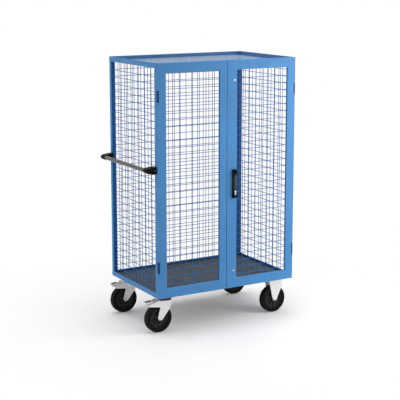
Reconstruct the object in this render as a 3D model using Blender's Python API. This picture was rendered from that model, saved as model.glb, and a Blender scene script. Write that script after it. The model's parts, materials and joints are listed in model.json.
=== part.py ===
"""Cabinet cart: a wire-mesh cabinet on two swivel casters with brakes and two fixed casters.

Lengths are in metres, +Z is up, +X runs along the width away from the push handle, and the doors face -Y.
The origin is on the floor, under the middle of the cart's box.
"""

import math

import bmesh
import bpy
from mathutils import Matrix, Vector

# Cabinet
BODY_WIDTH = 1.110
BODY_DEPTH = 0.735
BODY_HEIGHT = 1.620
SEAT_GAP = 0.0003
OVERRUN = 0.002

# Square tube of the posts, and angle steel of the base frame and the top rim
POST_WIDTH = 0.030
POST_WALL = 0.002
RAIL_HEIGHT = 0.035
RAIL_WALL = 0.003
BASE_FLANGE = 0.017
RIM_FLANGE = 0.030
BOARD_THICKNESS = 0.015
BEAM_WIDTH = 0.110
BEAM_DROP = 0.008
BEAM_WALL = 0.004

# Welded wire mesh, drawn with about every second wire
WIRE_DIAMETER = 0.004
NET_PITCH = 0.110
ROOF_NET_INSET = 0.018

# Doors
DOOR_THICKNESS = 0.015
DOOR_BACK_GAP = 0.001
DOOR_MIDDLE_GAP = 0.003
OUTER_STILE = 0.065
LEFT_INNER_STILE = 0.057
RIGHT_INNER_STILE = 0.080
DOOR_RAIL = 0.068
DOOR_NET_INSET = 0.004

# Lift-off hinges
HINGE_BARREL_RADIUS = 0.007
HINGE_PIN_RADIUS = 0.004
HINGE_AXIS_INSET = 0.003
HINGE_HEIGHT = 0.080
HINGE_CENTRE_INSET = 0.221
HINGE_LEAF = 0.005
HINGE_PIN_CLEARANCE = 0.0005
HINGE_CAP = 0.004
NOTCH_CLEARANCE = 0.001
BARREL_SIDES = 12

# Rod lock with a swing lever
LOCK_INSET = 0.057
LOCK_BOTTOM = 0.653
LOCK_HEIGHT = 0.204
PLATE_WIDTH = 0.030
PLATE_THICKNESS = 0.005
LEVER_WIDTH = 0.026
LEVER_THICKNESS = 0.016
LEVER_CHAMFER = 0.004
LEVER_RUN_GAP = 0.0015
LOCK_END_MARGIN = 0.002
SPINDLE_DROP = 0.022
SPINDLE_RADIUS = 0.006
SHAFT_CLEARANCE = 0.0005
LEVER_PIVOT_DROP = 0.020
EAR_WALL = 0.004
KNUCKLE_GAP = 0.0004
KNUCKLE_CLEARANCE = 0.001
PIVOT_RADIUS = 0.003
CYLINDER_HOUSING = 0.0605
CYLINDER_RADIUS = 0.0085
CYLINDER_TAIL_WIDTH = 0.010
CYLINDER_HEIGHT = 0.033
CYLINDER_DEPTH = 0.014
CYLINDER_TOP_MARGIN = 0.004
PLUG_RADIUS = 0.0045
PLUG_DEPTH = 0.010
KEYWAY_WIDTH = 0.0012
KEYWAY_HEIGHT = 0.006
KEYWAY_DEPTH = 0.003
ROD_RADIUS = 0.004
ROD_STANDOFF = 0.005
ROD_END_GAP = 0.001
ROD_OVERLAP = 0.018
ROD_CLEARANCE = 0.0005
PITCH_RADIUS = 0.0115
KEEPER_RADIUS = 0.0048
GUIDE_DROP = 0.139
GUIDE_RISE = 0.127
GUIDE_HEIGHT = 0.016
GUIDE_WALL = 0.003
GUIDE_SCREW_RADIUS = 0.003
GUIDE_HEAD_RADIUS = 0.006
GUIDE_HEAD_THICKNESS = 0.0025
ROUND_SIDES = 12
ROD_SIDES = 8
HEX_SIDES = 6
PINION_SIDES = 24

# Push handle
HANDLE_RISE = 0.897
HANDLE_STANDOFF = 0.062
HANDLE_TUBE_RADIUS = 0.014
HANDLE_TUBE_WALL = 0.002
HANDLE_SOCKET = 0.014
HANDLE_SOCKET_CLEARANCE = 0.0005
BRACKET_WIDTH = 0.052
BRACKET_NOSE_RADIUS = 0.0175
BRACKET_FOOT_HEIGHT = 0.050
BRACKET_SHOULDER = 0.030
BRACKET_SHOULDER_HEIGHT = 0.047
BRACKET_FOOT_WALL = 0.006
POCKET_LENGTH = 0.014
POCKET_HEIGHT = 0.022
POCKET_DEPTH = 0.024
TUBE_SIDES = 16
NOSE_STEPS = 10

# Casters
WHEEL_RADIUS = 0.100
TYRE_WIDTH = 0.050
TREAD_WIDTH = 0.034
TREAD_CROWN = 0.006
TYRE_DEPTH = 0.030
TYRE_BEAD_WIDTH = 0.044
HUB_WIDTH = 0.056
HUB_WEB = 0.014
HUB_RIM_WIDTH = 0.040
HUB_RIM_DEPTH = 0.008
HUB_BOSS_RADIUS = 0.018
HUB_BOSS_TAPER = 0.003
WHEEL_SIDES = 24
AXLE_RADIUS = 0.006
AXLE_HEAD_RADIUS = 0.0095
AXLE_HEAD_THICKNESS = 0.006
CASTER_INSET_X = 0.105
CASTER_INSET_Y = 0.089
CASTER_PLATE_LENGTH = 0.135
CASTER_PLATE_WIDTH = 0.110
CASTER_PLATE = 0.005
FORK_INNER_WIDTH = 0.058
FORK_SHEET = 0.004
CASTER_TRAIL = 0.058
WHEEL_HEADROOM = 0.0235
CROWN_REACH_REAR = 0.054
CROWN_REACH_FRONT = 0.034
BEARING_HEIGHT = 0.013
BEARING_RADIUS = 0.043
RACE_RADIUS = 0.040
RACE_HEIGHT = 0.0122
KINGPIN_RADIUS = 0.008
BEARING_SIDES = 20
HOOD_REACH = 0.147
HOOD_TIP_DROP = 0.016
HOOD_HEEL_REACH = 0.137
HOOD_HEEL_DROP = 0.031
HOOD_SHOULDER_REACH = 0.084
LEG_TOP_REACH = 0.054
LEG_TOP_DROP = 0.043
LEG_KNEE_REACH = 0.022
LEG_KNEE_DROP = 0.058
AXLE_LAND = 0.016
AXLE_LAND_BELOW = 0.010
FIXED_REACH_LEFT = 0.050
FIXED_REACH_RIGHT = 0.066
FIXED_KNEE_DROP = 0.060

# Brake pedals on the swivel casters
PEDAL_PIVOT_REACH = 0.068
PEDAL_PIVOT_RISE = 0.002
PEDAL_PIN_RADIUS = 0.0025
PEDAL_REACH = 0.158
PEDAL_WIDTH = 0.044
PEDAL_THICKNESS = 0.005
PEDAL_TREAD_RISE = 0.005
PEDAL_TREAD_REACH = 0.108
PEDAL_HEEL = 0.006
PEDAL_FALL = 0.0115
EAR_RISE = 0.007
EAR_HALF = 0.006
EAR_FOOT = 0.012

# The planes that the pieces are set out from
TYRE_INNER_RADIUS = WHEEL_RADIUS - TYRE_DEPTH
CROWN_TOP = 2 * WHEEL_RADIUS + WHEEL_HEADROOM + FORK_SHEET
BEARING_TOP = CROWN_TOP + BEARING_HEIGHT
CASTER_HEIGHT = BEARING_TOP + SEAT_GAP + RACE_HEIGHT + CASTER_PLATE
HINGE_PROUD = HINGE_BARREL_RADIUS - HINGE_AXIS_INSET
HANDLE_REACH = HANDLE_STANDOFF + BRACKET_NOSE_RADIUS
LOCK_PROUD = PLATE_THICKNESS + SEAT_GAP + LEVER_THICKNESS
LEFT = (HANDLE_REACH - HINGE_PROUD - BODY_WIDTH) / 2
RIGHT = LEFT + BODY_WIDTH
FRONT = (LOCK_PROUD - BODY_DEPTH) / 2
REAR = FRONT + BODY_DEPTH
FRAME_FRONT = FRONT + DOOR_THICKNESS + DOOR_BACK_GAP
BASE = CASTER_HEIGHT + SEAT_GAP + BEAM_DROP
TOP = BASE + BODY_HEIGHT
BOARD_TOP = BASE + RAIL_WALL + SEAT_GAP + BOARD_THICKNESS
RIM_BOTTOM = TOP - RAIL_HEIGHT

# A square wire laid on edge, with the area of the round one, has this half diagonal
NET_RADIUS = WIRE_DIAMETER / 2 * math.sqrt(math.pi / 2)

DOOR_OPENING = (
    BODY_WIDTH - 2 * OUTER_STILE - LEFT_INNER_STILE - DOOR_MIDDLE_GAP - RIGHT_INNER_STILE
) / 2
LEFT_DOOR_WIDTH = OUTER_STILE + DOOR_OPENING + LEFT_INNER_STILE
HINGE_AXIS_Y = FRONT + DOOR_THICKNESS / 2

LOCK_X = LEFT + LEFT_DOOR_WIDTH + DOOR_MIDDLE_GAP + LOCK_INSET
LOCK_LOW = BASE + LOCK_BOTTOM
LOCK_HIGH = LOCK_LOW + LOCK_HEIGHT
SPINDLE_Z = LOCK_HIGH - SPINDLE_DROP
LEVER_PIVOT_Z = SPINDLE_Z - LEVER_PIVOT_DROP
PLATE_FRONT = FRONT - PLATE_THICKNESS
LEVER_BACK = PLATE_FRONT - SEAT_GAP
LEVER_FRONT = LEVER_BACK - LEVER_THICKNESS
LEVER_MIDDLE = LEVER_BACK - LEVER_THICKNESS / 2
ROD_Y = FRONT + DOOR_THICKNESS + ROD_STANDOFF + ROD_RADIUS
ROD_OFFSET = PITCH_RADIUS + ROD_RADIUS

HANDLE_X = LEFT - HANDLE_STANDOFF
HANDLE_Z = BASE + HANDLE_RISE

SWIVEL_X = LEFT + CASTER_INSET_X
FIXED_X = RIGHT - CASTER_INSET_X
CASTER_Y = {"front": FRAME_FRONT + CASTER_INSET_Y, "rear": REAR - CASTER_INSET_Y}
SWIVEL_WHEEL_X = SWIVEL_X - CASTER_TRAIL
CHEEK_OUTER = FORK_INNER_WIDTH / 2 + FORK_SHEET

WELD = 1e-7
SHARP_ANGLE = math.radians(40)
AXES = {"X": Vector((1, 0, 0)), "Y": Vector((0, 1, 0)), "Z": Vector((0, 0, 1))}


def clear_scene():
    """Empties the scene."""
    for obj in list(bpy.data.objects):
        bpy.data.objects.remove(obj, do_unlink=True)


def finish(name, colour, roughness, metallic):
    """A Principled material."""
    made = bpy.data.materials.new(name)
    made.use_nodes = True
    shader = made.node_tree.nodes["Principled BSDF"]
    shader.inputs["Base Color"].default_value = (*colour, 1)
    shader.inputs["Roughness"].default_value = roughness
    shader.inputs["Metallic"].default_value = metallic
    return made


def box(low, high):
    """A block from its lowest to its highest corner."""
    low, high = Vector(low), Vector(high)
    bm = bmesh.new()
    bmesh.ops.create_cube(bm, size=1)
    bmesh.ops.scale(bm, vec=high - low, verts=bm.verts)
    bmesh.ops.translate(bm, vec=(low + high) / 2, verts=bm.verts)
    return bm


def prism(outline, axis, start, end):
    """An outline extruded along an axis. Its points are (Y, Z), (X, Z) or (X, Y) for the axis X, Y or Z."""
    bm = bmesh.new()
    corners = []
    for a, b in outline:
        point = {"X": (start, a, b), "Y": (a, start, b), "Z": (a, b, start)}[axis]
        corners.append(bm.verts.new(point))
    face = bm.faces.new(corners)
    grown = bmesh.ops.extrude_face_region(bm, geom=[face])["geom"]
    moved = [item for item in grown if isinstance(item, bmesh.types.BMVert)]
    bmesh.ops.translate(bm, vec=AXES[axis] * (end - start), verts=moved)
    bmesh.ops.recalc_face_normals(bm, faces=bm.faces)
    return bm


def arc(centre, radius, first, last, steps):
    """Points on an arc, with its angles in degrees."""
    points = []
    for step in range(steps + 1):
        angle = math.radians(first + (last - first) * step / steps)
        points.append((centre[0] + radius * math.cos(angle), centre[1] + radius * math.sin(angle)))
    return points


def rod(centre, radius, axis, start, end, sides, turn=0):
    """A round bar, as a prism with a corner at the angle turn."""
    return prism(arc(centre, radius, turn, turn + 360, sides)[:-1], axis, start, end)


def turned(profile, centre, sides, turn=0):
    """A closed profile of (Y, radius) points turned about the Y axis through centre."""
    bm = bmesh.new()
    rim = [bm.verts.new((radius, along, 0)) for along, radius in profile]
    for first, second in zip(rim, rim[1:] + rim[:1]):
        bm.edges.new((first, second))
    bmesh.ops.rotate(bm, cent=(0, 0, 0), matrix=Matrix.Rotation(turn, 3, "Y"), verts=bm.verts)
    bmesh.ops.spin(
        bm, geom=bm.verts[:] + bm.edges[:], cent=(0, 0, 0), axis=AXES["Y"], angle=math.tau, steps=sides
    )
    bmesh.ops.remove_doubles(bm, verts=bm.verts, dist=WELD)
    bmesh.ops.recalc_face_normals(bm, faces=bm.faces)
    bmesh.ops.translate(bm, vec=centre, verts=bm.verts)
    return bm


def angle_section(flange):
    """Corners of an angle section as (inset, height): its upright leg is outside and its flange at the foot."""
    return [
        (0, 0),
        (flange, 0),
        (flange, RAIL_WALL),
        (RAIL_WALL, RAIL_WALL),
        (RAIL_WALL, RAIL_HEIGHT),
        (0, RAIL_HEIGHT),
    ]


def frame_corners():
    """The cabinet's four outer corners in turn, each with the directions that lead inwards."""
    return (
        (LEFT, 1, FRAME_FRONT, 1),
        (RIGHT, -1, FRAME_FRONT, 1),
        (RIGHT, -1, REAR, -1),
        (LEFT, 1, REAR, -1),
    )


def corner_line(bm, corner, section, bottom, shift=0):
    """The section's corners on the mitre of one frame corner, moved along X by shift."""
    x, inward_x, y, inward_y = corner
    return [
        bm.verts.new((x + inward_x * (inset + shift), y + inward_y * inset, bottom + z)) for inset, z in section
    ]


def skin(bm, here, there):
    """Closes the sides between two copies of a section."""
    for k in range(len(here)):
        after = (k + 1) % len(here)
        bm.faces.new((here[k], there[k], there[after], here[after]))


def angle_ring(bottom, flange):
    """A mitred ring of angle steel round the cabinet."""
    bm = bmesh.new()
    lines = [corner_line(bm, corner, angle_section(flange), bottom) for corner in frame_corners()]
    for here, there in zip(lines, lines[1:] + lines[:1]):
        skin(bm, here, there)
    bmesh.ops.recalc_face_normals(bm, faces=bm.faces)
    return bm


def angle_rail(first, last, bottom, flange, shift):
    """One mitred rail of angle steel from one frame corner to the next, shortened by shift at each end."""
    bm = bmesh.new()
    here = corner_line(bm, first, angle_section(flange), bottom, shift)
    there = corner_line(bm, last, angle_section(flange), bottom, shift)
    skin(bm, here, there)
    bm.faces.new(here)
    bm.faces.new(reversed(there))
    bmesh.ops.recalc_face_normals(bm, faces=bm.faces)
    return bm


def spread(start, end):
    """Centres of evenly spaced wires between two limits, near the net's pitch."""
    low, high = start + SEAT_GAP + NET_RADIUS, end - SEAT_GAP - NET_RADIUS
    steps = max(1, round((high - low) / NET_PITCH))
    return [low + (high - low) * k / steps for k in range(steps + 1)]


def net(axis, level, across, along):
    """A flat wire net whose wires are squares on edge, in one body.

    axis is its normal and level its plane. A wire runs at each place in across and in along, which are
    read as (Y, Z), (X, Z) or (X, Y). At each crossing the two ridges meet in one point before and one
    behind, and the flanks meet in four corners.
    """
    bm = bmesh.new()

    def point(a, b, out):
        return bm.verts.new({"X": (level + out, a, b), "Y": (a, level + out, b), "Z": (a, b, level + out)}[axis])

    last_i, last_j = len(across) - 1, len(along) - 1
    ridges, corners = {}, {}
    for i, a in enumerate(across):
        for j, b in enumerate(along):
            for side in (1, -1):
                ridges[i, j, side] = point(a, b, side * NET_RADIUS)
            for s in (1, -1):
                for t in (1, -1):
                    corners[i, j, s, t] = point(a + s * NET_RADIUS, b + t * NET_RADIUS, 0)
    for i in range(last_i + 1):
        for j in range(last_j + 1):
            for side in (1, -1):
                ridge = ridges[i, j, side]
                for s, edge in ((-1, 0), (1, last_i)):
                    if i == edge:
                        bm.faces.new((ridge, corners[i, j, s, -1], corners[i, j, s, 1]))
                for t, edge in ((-1, 0), (1, last_j)):
                    if j == edge:
                        bm.faces.new((ridge, corners[i, j, -1, t], corners[i, j, 1, t]))
                for s in (1, -1):
                    if j < last_j:
                        bm.faces.new(
                            (ridge, ridges[i, j + 1, side], corners[i, j + 1, s, -1], corners[i, j, s, 1])
                        )
                    if i < last_i:
                        bm.faces.new(
                            (ridge, ridges[i + 1, j, side], corners[i + 1, j, -1, s], corners[i, j, 1, s])
                        )
    bmesh.ops.recalc_face_normals(bm, faces=bm.faces)
    return bm


def helper(name, bm):
    """A hidden mesh that a Boolean reads."""
    mesh = bpy.data.meshes.new(name)
    bm.to_mesh(mesh)
    bm.free()
    obj = bpy.data.objects.new(name, mesh)
    bpy.context.collection.objects.link(obj)
    obj.hide_render = True
    obj.display_type = "WIRE"
    return obj


def piece(name, bm, material, origin=(0, 0, 0), add=(), cut=()):
    """A named piece with its origin at a given point, joined with the shapes in add and cut by those in cut."""
    origin = Vector(origin)
    bmesh.ops.translate(bm, vec=-origin, verts=bm.verts)
    mesh = bpy.data.meshes.new(name)
    bm.to_mesh(mesh)
    bm.free()
    mesh.materials.append(material)
    obj = bpy.data.objects.new(name, mesh)
    obj.location = origin
    bpy.context.collection.objects.link(obj)
    for operation, shapes in (("UNION", add), ("DIFFERENCE", cut)):
        for number, shape in enumerate(shapes):
            other = helper(f"{name}_{operation.lower()}_{number}", shape)
            boolean = obj.modifiers.new(other.name, "BOOLEAN")
            boolean.operation = operation
            boolean.object = other
            boolean.solver = "EXACT"
    return obj


def smooth(obj):
    """Shades the round faces smooth and keeps the sharp edges."""
    obj.data.shade_smooth()
    obj.data.set_sharp_from_angle(angle=SHARP_ANGLE)


def build_frame(paint, board, wire):
    """The welded frame: base rails, caster beams, posts, top rim, floor board and fixed nets."""
    corners = frame_corners()
    mitre_gap = SEAT_GAP * math.sqrt(2)
    sides = (("front", mitre_gap), ("right", 0), ("rear", mitre_gap), ("left", 0))
    for k, (side, shift) in enumerate(sides):
        rail = angle_rail(corners[k], corners[(k + 1) % len(corners)], BASE, BASE_FLANGE, shift)
        piece(f"base_rail_{side}", rail, paint)
    keeper = rod((LOCK_X - ROD_OFFSET, ROD_Y), KEEPER_RADIUS, "Z", RIM_BOTTOM - OVERRUN,
                 RIM_BOTTOM + RAIL_WALL + OVERRUN, ROUND_SIDES)
    piece("top_rim", angle_ring(RIM_BOTTOM, RIM_FLANGE), paint, cut=[keeper])

    beam_front, beam_rear = FRAME_FRONT + BASE_FLANGE + SEAT_GAP, REAR - BASE_FLANGE - SEAT_GAP
    low, high = BASE - BEAM_DROP, BASE + RAIL_WALL
    for side, x in (("left", SWIVEL_X), ("right", FIXED_X)):
        half = BEAM_WIDTH / 2
        channel = [
            (x - half, high),
            (x - half, low),
            (x + half, low),
            (x + half, high),
            (x + half - BEAM_WALL, high),
            (x + half - BEAM_WALL, low + BEAM_WALL),
            (x - half + BEAM_WALL, low + BEAM_WALL),
            (x - half + BEAM_WALL, high),
        ]
        piece(f"caster_beam_{side}", prism(channel, "Y", beam_front, beam_rear), paint)

    foot, head = BASE + RAIL_HEIGHT + SEAT_GAP, RIM_BOTTOM - SEAT_GAP
    for name, (x, inward_x, y, inward_y) in zip(("front_left", "front_right", "rear_right", "rear_left"), corners):
        far_x, far_y = x + inward_x * POST_WIDTH, y + inward_y * POST_WIDTH
        low_x, high_x = sorted((x, far_x))
        low_y, high_y = sorted((y, far_y))
        bore = box(
            (low_x + POST_WALL, low_y + POST_WALL, foot - OVERRUN),
            (high_x - POST_WALL, high_y - POST_WALL, head + OVERRUN),
        )
        piece(f"post_{name}", box((low_x, low_y, foot), (high_x, high_y, head)), paint, cut=[bore])

    plane = RAIL_WALL + SEAT_GAP + NET_RADIUS
    beside = plane + NET_RADIUS + SEAT_GAP
    piece(
        "floor_board",
        box(
            (LEFT + beside, FRAME_FRONT + RAIL_WALL + SEAT_GAP, BOARD_TOP - BOARD_THICKNESS),
            (RIGHT - beside, REAR - beside, BOARD_TOP),
        ),
        board,
    )

    depths = spread(FRAME_FRONT + POST_WIDTH, REAR - POST_WIDTH)
    widths = spread(LEFT + POST_WIDTH, RIGHT - POST_WIDTH)
    heights = spread(BASE + RAIL_WALL, RIM_BOTTOM)
    piece("side_mesh_left", net("X", LEFT + plane, depths, heights), wire)
    piece("side_mesh_right", net("X", RIGHT - plane, depths, heights), wire)
    piece("rear_mesh", net("Y", REAR - plane, widths, heights), wire)
    piece(
        "roof_mesh",
        net(
            "Z",
            RIM_BOTTOM + plane,
            spread(LEFT + ROOF_NET_INSET, RIGHT - ROOF_NET_INSET),
            spread(FRAME_FRONT + ROOF_NET_INSET, REAR - ROOF_NET_INSET),
        ),
        wire,
    )


def build_hinges(side, x_axis, inward, steel, paint):
    """The two hinges of one door: a post half with its pin below, and a door half that lifts off it."""
    notch_reach = HINGE_BARREL_RADIUS + NOTCH_CLEARANCE
    for level, z in (("lower", BASE + HINGE_CENTRE_INSET), ("upper", TOP - HINGE_CENTRE_INSET)):
        axis = (x_axis, HINGE_AXIS_Y)
        low, high = z - HINGE_HEIGHT / 2, z + HINGE_HEIGHT / 2
        half_leaf = HINGE_LEAF / 2
        pin = rod(axis, HINGE_PIN_RADIUS, "Z", z - OVERRUN, high - HINGE_CAP - SEAT_GAP, BARREL_SIDES)
        post_leaf = box(
            (x_axis - half_leaf, HINGE_AXIS_Y, low),
            (x_axis + half_leaf, FRAME_FRONT - SEAT_GAP, z - SEAT_GAP),
        )
        piece(
            f"hinge_post_half_{side}_{level}",
            rod(axis, HINGE_BARREL_RADIUS, "Z", low, z - SEAT_GAP, BARREL_SIDES),
            steel,
            add=[post_leaf, pin],
        )
        reach = inward * (notch_reach - SEAT_GAP)
        door_leaf = box(
            (min(x_axis, x_axis + reach), HINGE_AXIS_Y - half_leaf, z),
            (max(x_axis, x_axis + reach), HINGE_AXIS_Y + half_leaf, high),
        )
        bore = rod(axis, HINGE_PIN_RADIUS + HINGE_PIN_CLEARANCE, "Z", z - OVERRUN, high - HINGE_CAP,
                   BARREL_SIDES)
        piece(
            f"hinge_door_half_{side}_{level}",
            rod(axis, HINGE_BARREL_RADIUS, "Z", z, high, BARREL_SIDES),
            paint,
            origin=(x_axis, HINGE_AXIS_Y, 0),
            add=[door_leaf],
            cut=[bore],
        )


def hinge_notches(x_axis):
    """Cutters for the gaps in a stile that its two hinges stand in."""
    reach = HINGE_BARREL_RADIUS + NOTCH_CLEARANCE
    half = HINGE_HEIGHT / 2 + NOTCH_CLEARANCE
    cutters = []
    for z in (BASE + HINGE_CENTRE_INSET, TOP - HINGE_CENTRE_INSET):
        cutters.append(
            box(
                (x_axis - reach, FRONT - OVERRUN, z - half),
                (x_axis + reach, FRONT + DOOR_THICKNESS + OVERRUN, z + half),
            )
        )
    return cutters


def build_door(side, x_low, x_high, open_low, x_axis, inward, finishes, cut=()):
    """One door: its frame, the net in it and its hinges. Its pieces have their origin on the hinge axis."""
    paint, wire, steel = finishes
    origin = (x_axis, HINGE_AXIS_Y, 0)
    open_high = open_low + DOOR_OPENING
    low, high = BASE + DOOR_RAIL, TOP - DOOR_RAIL
    opening = box(
        (open_low, FRONT - OVERRUN, low),
        (open_high, FRONT + DOOR_THICKNESS + OVERRUN, high),
    )
    piece(
        f"door_frame_{side}",
        box((x_low, FRONT, BASE), (x_high, FRONT + DOOR_THICKNESS, TOP)),
        paint,
        origin=origin,
        cut=[opening, *hinge_notches(x_axis), *cut],
    )
    plane = FRONT + DOOR_THICKNESS - DOOR_NET_INSET
    piece(f"door_mesh_{side}", net("Y", plane, spread(open_low, open_high), spread(low, high)), wire,
          origin=origin)
    build_hinges(side, x_axis, inward, steel, paint)


def guide_levels():
    """Heights of the two rod guides, with the side of the spindle that each rod runs on."""
    return (("upper", TOP - GUIDE_DROP, -1), ("lower", BASE + GUIDE_RISE, 1))


def lock_holes():
    """Cutters for the spindle and the guide screws in the right door's stile."""
    through = (FRONT - OVERRUN, FRONT + DOOR_THICKNESS + OVERRUN)
    holes = [rod((LOCK_X, SPINDLE_Z), SPINDLE_RADIUS + SHAFT_CLEARANCE, "Y", *through, ROUND_SIDES)]
    for _, z, _ in guide_levels():
        holes.append(rod((LOCK_X, z), GUIDE_SCREW_RADIUS + SEAT_GAP, "Y", *through, ROD_SIDES))
    return holes


def cylinder_outline(grow):
    """The keyhole outline of the lock cylinder in X and Z: a circle over a narrower tail, grown by grow."""
    centre = (LOCK_X, LOCK_LOW + CYLINDER_HOUSING - CYLINDER_TOP_MARGIN - CYLINDER_RADIUS)
    radius, half = CYLINDER_RADIUS + grow, CYLINDER_TAIL_WIDTH / 2 + grow
    meet = math.degrees(math.asin(half / radius))
    bottom = centre[1] + CYLINDER_RADIUS - CYLINDER_HEIGHT - grow
    points = arc(centre, radius, meet - 90, 270 - meet, ROUND_SIDES)
    return [*points, (LOCK_X - half, bottom), (LOCK_X + half, bottom)]


def build_lock(plastic, zinc):
    """The swing-lever lock on the right door: plate, cylinder, spindle, lever, pinion, rods and guides."""
    door_origin = (RIGHT - HINGE_AXIS_INSET, HINGE_AXIS_Y, 0)
    half = LEVER_WIDTH / 2
    half_plate = PLATE_WIDTH / 2
    housing_top = LOCK_LOW + CYLINDER_HOUSING
    housing = box(
        (LOCK_X - half, LEVER_FRONT, LOCK_LOW + LOCK_END_MARGIN),
        (LOCK_X + half, FRONT - PLATE_THICKNESS / 2, housing_top),
    )
    shaft_hole = rod((LOCK_X, SPINDLE_Z), SPINDLE_RADIUS + SHAFT_CLEARANCE, "Y",
                     PLATE_FRONT - OVERRUN, FRONT + OVERRUN, ROUND_SIDES)
    pocket = prism(cylinder_outline(SEAT_GAP), "Y", LEVER_FRONT - OVERRUN, LEVER_FRONT + CYLINDER_DEPTH)
    piece(
        "lock_escutcheon",
        box((LOCK_X - half_plate, PLATE_FRONT, LOCK_LOW), (LOCK_X + half_plate, FRONT - SEAT_GAP, LOCK_HIGH)),
        plastic,
        origin=door_origin,
        add=[housing],
        cut=[shaft_hole, pocket],
    )

    plug_centre = (LOCK_X, housing_top - CYLINDER_TOP_MARGIN - CYLINDER_RADIUS)
    plug_hole = rod(plug_centre, PLUG_RADIUS + SHAFT_CLEARANCE, "Y", LEVER_FRONT - OVERRUN,
                    LEVER_FRONT + PLUG_DEPTH + SEAT_GAP, ROUND_SIDES)
    piece(
        "lock_cylinder",
        prism(cylinder_outline(0), "Y", LEVER_FRONT + SEAT_GAP, LEVER_FRONT + CYLINDER_DEPTH - SEAT_GAP),
        zinc,
        origin=door_origin,
        cut=[plug_hole],
    )
    keyway = box(
        (LOCK_X - KEYWAY_WIDTH / 2, LEVER_FRONT - OVERRUN, plug_centre[1] - KEYWAY_HEIGHT / 2),
        (LOCK_X + KEYWAY_WIDTH / 2, LEVER_FRONT + KEYWAY_DEPTH, plug_centre[1] + KEYWAY_HEIGHT / 2),
    )
    piece(
        "lock_plug",
        rod(plug_centre, PLUG_RADIUS, "Y", LEVER_FRONT + SEAT_GAP, LEVER_FRONT + PLUG_DEPTH, ROUND_SIDES),
        zinc,
        origin=(plug_centre[0], LEVER_FRONT, plug_centre[1]),
        cut=[keyway],
    )

    pivot = (LEVER_MIDDLE, LEVER_PIVOT_Z)
    knuckle_radius = LEVER_THICKNESS / 2
    boss_outline = [
        (LEVER_BACK, LOCK_HIGH - LOCK_END_MARGIN),
        (LEVER_FRONT, LOCK_HIGH - LOCK_END_MARGIN),
        *arc(pivot, knuckle_radius, 180, 360, ROD_SIDES),
    ]
    slot = box(
        (LOCK_X - half + EAR_WALL, LEVER_FRONT - OVERRUN, LEVER_PIVOT_Z - LEVER_THICKNESS),
        (LOCK_X + half - EAR_WALL, LEVER_BACK + OVERRUN, LEVER_PIVOT_Z + knuckle_radius + KNUCKLE_CLEARANCE),
    )
    pin_hole = rod(pivot, PIVOT_RADIUS + SHAFT_CLEARANCE, "X", LOCK_X - LEVER_WIDTH, LOCK_X + LEVER_WIDTH,
                   ROUND_SIDES)
    shaft = rod((LOCK_X, SPINDLE_Z), SPINDLE_RADIUS, "Y", LEVER_BACK - LEVER_THICKNESS / 2, ROD_Y, ROUND_SIDES)
    pinion = rod((LOCK_X, SPINDLE_Z), PITCH_RADIUS - SEAT_GAP, "Y", ROD_Y - ROD_RADIUS, ROD_Y + ROD_RADIUS,
                 PINION_SIDES)
    piece(
        "lock_spindle",
        prism(boss_outline, "X", LOCK_X - half, LOCK_X + half),
        plastic,
        origin=(LOCK_X, LEVER_BACK, SPINDLE_Z),
        add=[shaft, pinion],
        cut=[slot, pin_hole],
    )

    knuckle_half = half - EAR_WALL - KNUCKLE_GAP
    shoulder = LEVER_PIVOT_Z - knuckle_radius - KNUCKLE_CLEARANCE
    knuckle = prism(
        [(LEVER_BACK, shoulder - LEVER_CHAMFER), *arc(pivot, knuckle_radius, 0, 180, ROD_SIDES),
         (LEVER_FRONT, shoulder - LEVER_CHAMFER)],
        "X", LOCK_X - knuckle_half, LOCK_X + knuckle_half,
    )
    trunnion = rod(pivot, PIVOT_RADIUS, "X", LOCK_X - half + SEAT_GAP, LOCK_X + half - SEAT_GAP, ROUND_SIDES)
    grip = [
        (LOCK_X - half, LEVER_BACK),
        (LOCK_X + half, LEVER_BACK),
        (LOCK_X + half, LEVER_FRONT + LEVER_CHAMFER),
        (LOCK_X + half - LEVER_CHAMFER, LEVER_FRONT),
        (LOCK_X - half + LEVER_CHAMFER, LEVER_FRONT),
        (LOCK_X - half, LEVER_FRONT + LEVER_CHAMFER),
    ]
    piece(
        "lock_lever",
        prism(grip, "Z", housing_top + LEVER_RUN_GAP, shoulder),
        plastic,
        origin=(LOCK_X, *pivot),
        add=[knuckle, trunnion],
    )

    ends = {
        "upper": (SPINDLE_Z - ROD_OVERLAP, RIM_BOTTOM - ROD_END_GAP),
        "lower": (BASE + RAIL_HEIGHT + ROD_END_GAP, SPINDLE_Z + ROD_OVERLAP),
    }
    for level, z, side in guide_levels():
        x = LOCK_X + side * ROD_OFFSET
        low, high = ends[level]
        turn = 180 / ROD_SIDES
        piece(f"lock_rod_{level}", rod((x, ROD_Y), ROD_RADIUS, "Z", low, high, ROD_SIDES, turn), zinc,
              origin=(x, ROD_Y, SPINDLE_Z))
        far = x + side * (ROD_RADIUS + GUIDE_WALL)
        near = LOCK_X - side * (GUIDE_SCREW_RADIUS + GUIDE_WALL)
        block = box(
            (min(near, far), FRONT + DOOR_THICKNESS + SEAT_GAP, z - GUIDE_HEIGHT / 2),
            (max(near, far), ROD_Y + ROD_RADIUS + GUIDE_WALL, z + GUIDE_HEIGHT / 2),
        )
        shank = rod((LOCK_X, z), GUIDE_SCREW_RADIUS, "Y", FRONT - GUIDE_HEAD_THICKNESS, ROD_Y, ROD_SIDES)
        head = rod((LOCK_X, z), GUIDE_HEAD_RADIUS, "Y", FRONT - SEAT_GAP - GUIDE_HEAD_THICKNESS,
                   FRONT - SEAT_GAP, ROUND_SIDES)
        passage = rod((x, ROD_Y), ROD_RADIUS + ROD_CLEARANCE, "Z", z - GUIDE_HEIGHT, z + GUIDE_HEIGHT,
                      ROD_SIDES, turn)
        piece(f"rod_guide_{level}", block, zinc, origin=door_origin, add=[shank, head], cut=[passage])


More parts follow.
